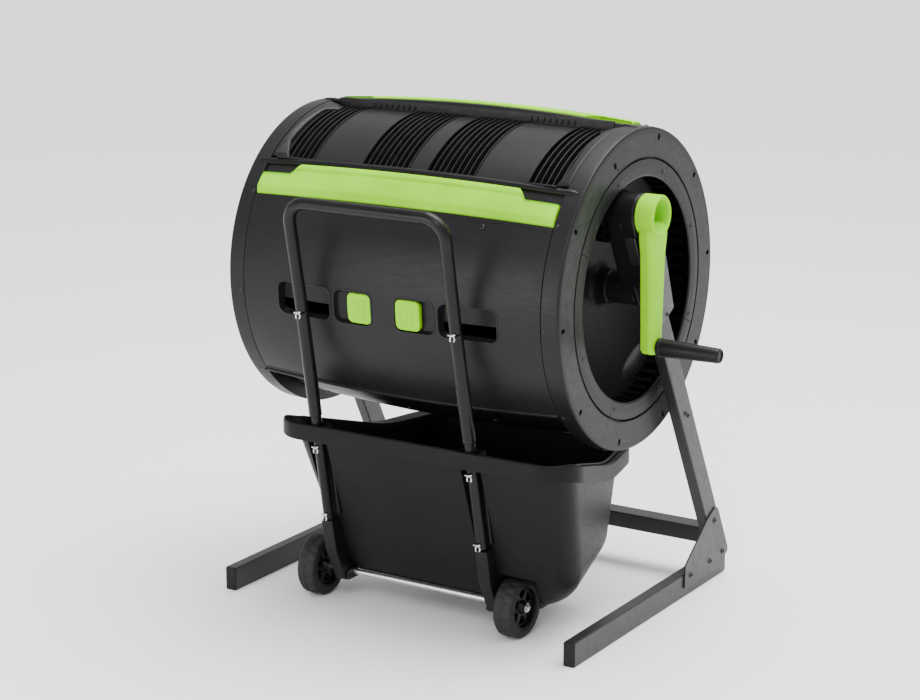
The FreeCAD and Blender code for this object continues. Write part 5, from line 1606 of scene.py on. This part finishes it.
def rim_piece():
    """Down-turned lip: a smooth band with a rolled top that follows the saddle."""
    section = [
        (-5.0, -4.5), (-5.0, -1.5), (-2.0, 0.0), (RIM_OUT - 5.0, 0.0), (RIM_OUT - 1.5, -1.2),
        (RIM_OUT, -5.0), (RIM_OUT, -RIM_TALL + 2.0), (RIM_OUT - 1.0, -RIM_TALL),
        (RIM_OUT - 3.2, -RIM_TALL + 0.6), (RIM_OUT - 3.4, -8.0), (RIM_OUT - 6.0, -4.6),
    ]
    rows = []
    for grow, height in section:
        front = -3.0 if grow < 0 else (grow - RIM_OUT + 4.0 if grow > 8.0 else min(grow, 0.0))
        corners = bin_plan(1.0, grow, front)
        reach = RIM_LEFT_REACH * max(0.0, grow) / RIM_OUT
        for index, shift in ((0, reach), (1, reach * 0.4), (2, reach * 0.4), (3, reach)):
            corners[index] = (corners[index][0] - shift, corners[index][1])
        loop = rounded_loop(corners, BIN_CORNER + grow, 10)
        made = []
        corner = 11
        counts = (40, 44, 24, 44)
        for index in range(4):
            arc = loop[index * corner:(index + 1) * corner]
            following = loop[((index + 1) % 4) * corner]
            made += arc
            for step in range(1, counts[index]):
                made.append(arc[-1].lerp(following, step / counts[index]))
        rows.append([(point, height) for point in made])
    guide = [point for point, _ in rows[5]]
    bm = bmesh.new()
    rings = []
    for row in rows:
        ring = []
        for (point, height), edge in zip(row, guide):
            ring.append(bm.verts.new(spot(point.x, point.y, rim_height(edge.y) + height)))
        rings.append(ring)
    count = len(rings)
    for i in range(count):
        first = rings[i]
        second = rings[(i + 1) % count]
        for j in range(len(first)):
            k = (j + 1) % len(first)
            bm.faces.new((first[j], first[k], second[k], second[j]))
    mesh = clean_mesh(bm, "bin_lip")
    finish_piece(mesh, "bin_lip", tub_black, "cart", ["bin_rim"], 40.0)


def front_wall_y(height):
    """The outer face of the tub's sloping front wall."""
    return bin_plan((height - BIN_FLOOR) / (BIN_TOP - BIN_FLOOR))[0][1]


def mount_piece():
    """Upper saddles, and the pillars that hold the tubes' feet and the axle."""
    bm = bmesh.new()
    for side in (-1, 1):
        middle = HANDLE_CENTRE + side * (HANDLE_HALF + 3.0)
        x0 = middle - CHANNEL_HALF + 0.5
        x1 = middle + CHANNEL_HALF - 0.5
        block = plate([rounded_loop(rectangle(x0, x1, 364.0, 397.0), 3.0, 3)], 19.0, 2.4, None, 3)
        for vert in block.verts:
            x, z, height = vert.co
            vert.co = spot(x, handle_y(z) + TUBE_RADIUS + 4.0 - height, z)
        merge_into(bm, block)
        outline = [
            (handle_y(PILLAR_TOP) - 9.0, PILLAR_TOP), (handle_y(120.0) - 8.0, 120.0),
            (WHEEL_Y - 24.0, PILLAR_LOW), (WHEEL_Y + 14.0, PILLAR_LOW),
            (WHEEL_Y + 14.0, BIN_FLOOR - 3.0), (WHEEL_Y + 34.0, BIN_FLOOR + 2.0),
            (WHEEL_Y + 30.0, BIN_FLOOR + 30.0),
            (front_wall_y(PILLAR_TOP) + 2.0, PILLAR_TOP),
        ]
        post = plate([rounded_loop(outline, [4, 30, 6, 4, 0, 0, 0, 2], 5)], PILLAR_WIDE, 2.6, None, 4)
        foot = HANDLE_CENTRE + side * (HANDLE_HALF + 6.0)
        for vert in post.verts:
            y, z, height = vert.co
            vert.co = spot(foot - PILLAR_WIDE / 2 + height, y, z)
        merge_into(bm, post)
        rib = middle + 17.0
        strip = plate([rectangle(rib - 3.0, rib + 3.0, 205.0, 366.0)], 9.0, 1.6, None, 3)
        for vert in strip.verts:
            x, z, height = vert.co
            vert.co = spot(x, handle_y(z) + TUBE_RADIUS + 4.0 - height, z)
        merge_into(bm, strip)
    mesh = clean_mesh(bm, "tube_saddles")
    finish_piece(mesh, "tube_saddles", black, "cart", ["tube_mounts"])


def clip_pieces():
    """Bent wire clips, each a pin through the tube with a looped spring end."""
    bm = bmesh.new()
    for side in (-1, 1):
        for height in (354.0, 204.0, JOIN_HEIGHT - 2.0):
            x = HANDLE_CENTRE + tube_x(side, height)
            y = handle_y(height) - TUBE_RADIUS
            pin = [spot(x - 12.0, y + 3.0, height - 2.0), spot(x - 2.0, y - 2.5, height),
                   spot(x + 7.0, y - 2.0, height + 2.0)]
            merge_into(bm, pipe(pin, 2.0, 10, 0.6))
            loop = []
            for step in range(15):
                turn = math.radians(-60.0 + 300.0 * step / 14)
                loop.append(spot(x + 2.0 + 4.6 * math.cos(turn), y - 3.5 - 0.15 * step,
                                 height - 6.0 + 6.0 * math.sin(turn)))
            merge_into(bm, pipe(loop, 1.4, 8, 0.4))
    mesh = clean_mesh(bm, "wire_clips")
    finish_piece(mesh, "wire_clips", clip_steel, "cart", ["retaining_clips"], 50.0)


def wheel_pieces(hand, side):
    """Solid tyre with cross-cut tread, and a six-spoke hub with star openings."""
    centre = side * WHEEL_X
    body = f"{hand}_wheel"

    def place(x, radius, angle):
        turn = math.radians(angle)
        if radius > 60.7 and round(angle / 3.0 + (2.5 if x > 0.0 else 0.0)) % 6 == 0:
            radius = 60.7
        return spot(centre + x, WHEEL_Y + radius * math.cos(turn), WHEEL_Z + radius * math.sin(turn))

    profile = [
        (-19.0, 44.5), (-20.6, 45.6), (-21.0, 48.0), (-21.0, 55.5), (-20.2, 58.6), (-17.8, 60.8),
        (-16.6, 61.9), (-3.0, 62.45), (-1.4, 61.0), (1.4, 61.0), (3.0, 62.45), (16.6, 61.9),
        (17.8, 60.8), (20.2, 58.6), (21.0, 55.5), (21.0, 48.0), (20.6, 45.6), (19.0, 44.5),
    ]
    bm, _ = revolved(profile, place, 120)
    mesh = clean_mesh(bm, f"tread_{hand}")
    finish_piece(mesh, f"tread_{hand}", rubber, body, [f"tyre_{hand}"], 35.0)
    hub = bmesh.new()
    for face_side in (-1, 1):
        rim, _ = revolved(
            [(face_side * 5.0, 39.5), (face_side * 14.0, 40.8), (face_side * 18.6, 41.6),
             (face_side * 19.8, 43.4), (face_side * 18.8, 45.6), (face_side * 12.0, 45.8)],
            place, 96,
        )
        merge_into(hub, rim)
        boss, _ = revolved(
            [(face_side * 9.0, 15.0), (face_side * 14.0, 13.0), (face_side * 16.6, 11.4),
             (face_side * 20.4, 9.0), (face_side * 20.4, 6.1)], place, 48,
        )
        merge_into(hub, boss)
    loops = [ellipse(0, 0, 40.6, 40.6, 96)]
    for spoke in range(6):
        turn = math.radians(60.0 * spoke + 30.0)
        corners = []
        for radius, spread_angle in ((18.5, 9.0), (37.0, 22.0), (37.0, -22.0), (18.5, -9.0)):
            at = turn + math.radians(spread_angle)
            corners.append((radius * math.cos(at), radius * math.sin(at)))
        loops.append(rounded_loop(corners, 2.5, 4))
    web = plate(loops, 23.0, 1.6, None, 3)
    for vert in web.verts:
        y, z, height = vert.co
        vert.co = spot(centre + height - 11.5, WHEEL_Y + y, WHEEL_Z + z)
    merge_into(hub, web)
    mesh = clean_mesh(hub, f"wheel_hub_{hand}")
    finish_piece(mesh, f"wheel_hub_{hand}", black, body, [f"wheel_{hand}"], 35.0)


def axle_pieces():
    """Zinc axle rod and the push-on caps, each with a washer-like flange."""
    reach = WHEEL_X + 25.0
    line = [spot(x, WHEEL_Y, WHEEL_Z) for x in (-reach, 0, reach)]
    rod = pipe(line, 6.0, 24, 1.5)
    mesh = clean_mesh(rod, "axle_rod")
    finish_piece(mesh, "axle_rod", zinc, "cart", ["cart_axle"], 50.0)
    bm = bmesh.new()
    for side in (-1, 1):
        start = side * (reach - 3.2)

        def place(x, radius, angle, start=start, side=side):
            turn = math.radians(angle)
            across = WHEEL_Y + radius * math.cos(turn)
            up = WHEEL_Z + radius * math.sin(turn)
            return spot(start + side * x, across, up)

        cap, _ = revolved(
            [
                (0.0, 6.1), (0.0, 9.0), (1.2, 9.0), (1.4, 6.8),
                (4.4, 6.6), (5.8, 5.2), (6.6, 2.5), (6.7, 0.01),
            ],
            place, 36,
        )
        merge_into(bm, cap)
    mesh = clean_mesh(bm, "push_caps")
    finish_piece(mesh, "push_caps", zinc, "cart", ["axle_caps"], 35.0)


handle_pieces()
tub_shell_piece()
wheel_arch_piece()
rim_piece()
mount_piece()
clip_pieces()
for hand, side in (("left", -1), ("right", 1)):
    wheel_pieces(hand, side)
axle_pieces()


# ------------------------------------------------------------------ stage, lights and camera


def floor_and_lights():
    """Pale floor, white surround and soft studio lights."""
    bpy.ops.mesh.primitive_plane_add(size=60.0, location=(0, 0, 0))
    floor = bpy.context.object
    floor.name = "studio_floor"
    n = Nodes("studio_floor")
    n.shader.inputs["Base Color"].default_value = (0.93, 0.93, 0.93, 1)
    n.shader.inputs["Roughness"].default_value = 0.9
    n.shader.inputs["Specular IOR Level"].default_value = 0.1
    floor.data.materials.append(n.material)
    world = bpy.data.worlds.new("studio")
    world.use_nodes = True
    background = world.node_tree.nodes["Background"]
    background.inputs["Color"].default_value = (1.0, 1.0, 1.0, 1.0)
    background.inputs["Strength"].default_value = 0.85
    bpy.context.scene.world = world
    for name, place, aim, size, power in (
        ("key_softbox", (1.3, -3.6, 3.2), (0.1, 0.0, 0.7), 1.6, 70.0),
        ("top_softbox", (0.2, 0.9, 3.8), (0.0, 0.0, 0.7), 2.6, 150.0),
        ("front_softbox", (-1.5, -3.9, 1.0), (0.0, 0.0, 0.7), 1.8, 55.0),
    ):
        data = bpy.data.lights.new(name, "AREA")
        data.size = size
        data.energy = power
        lamp = bpy.data.objects.new(name, data)
        lamp.location = place
        lamp.rotation_euler = (Vector(aim) - Vector(place)).to_track_quat("-Z", "Y").to_euler()
        bpy.context.scene.collection.objects.link(lamp)

    data = bpy.data.lights.new("ceiling", "SUN")
    data.energy = 3.4
    data.angle = math.radians(60.0)
    ceiling = bpy.data.objects.new("ceiling", data)
    ceiling.rotation_euler = (math.radians(-12.0), math.radians(14.0), 0.0)
    bpy.context.scene.collection.objects.link(ceiling)


def studio_camera():
    """Camera at the viewing angle: front right and a little above."""
    azimuth = math.radians(32.06)
    elevation = math.radians(14.12)
    back = Vector((
        math.sin(azimuth) * math.cos(elevation),
        -math.cos(azimuth) * math.cos(elevation),
        math.sin(elevation),
    ))
    data = bpy.data.cameras.new("studio_camera")
    data.lens = 90.78
    data.sensor_width = 36.0
    camera = bpy.data.objects.new("studio_camera", data)
    camera.location = (2.3619, -3.9229, 1.6781)
    camera.rotation_euler = back.to_track_quat("Z", "Y").to_euler()
    bpy.context.scene.collection.objects.link(camera)
    bpy.context.scene.camera = camera


floor_and_lights()
studio_camera()
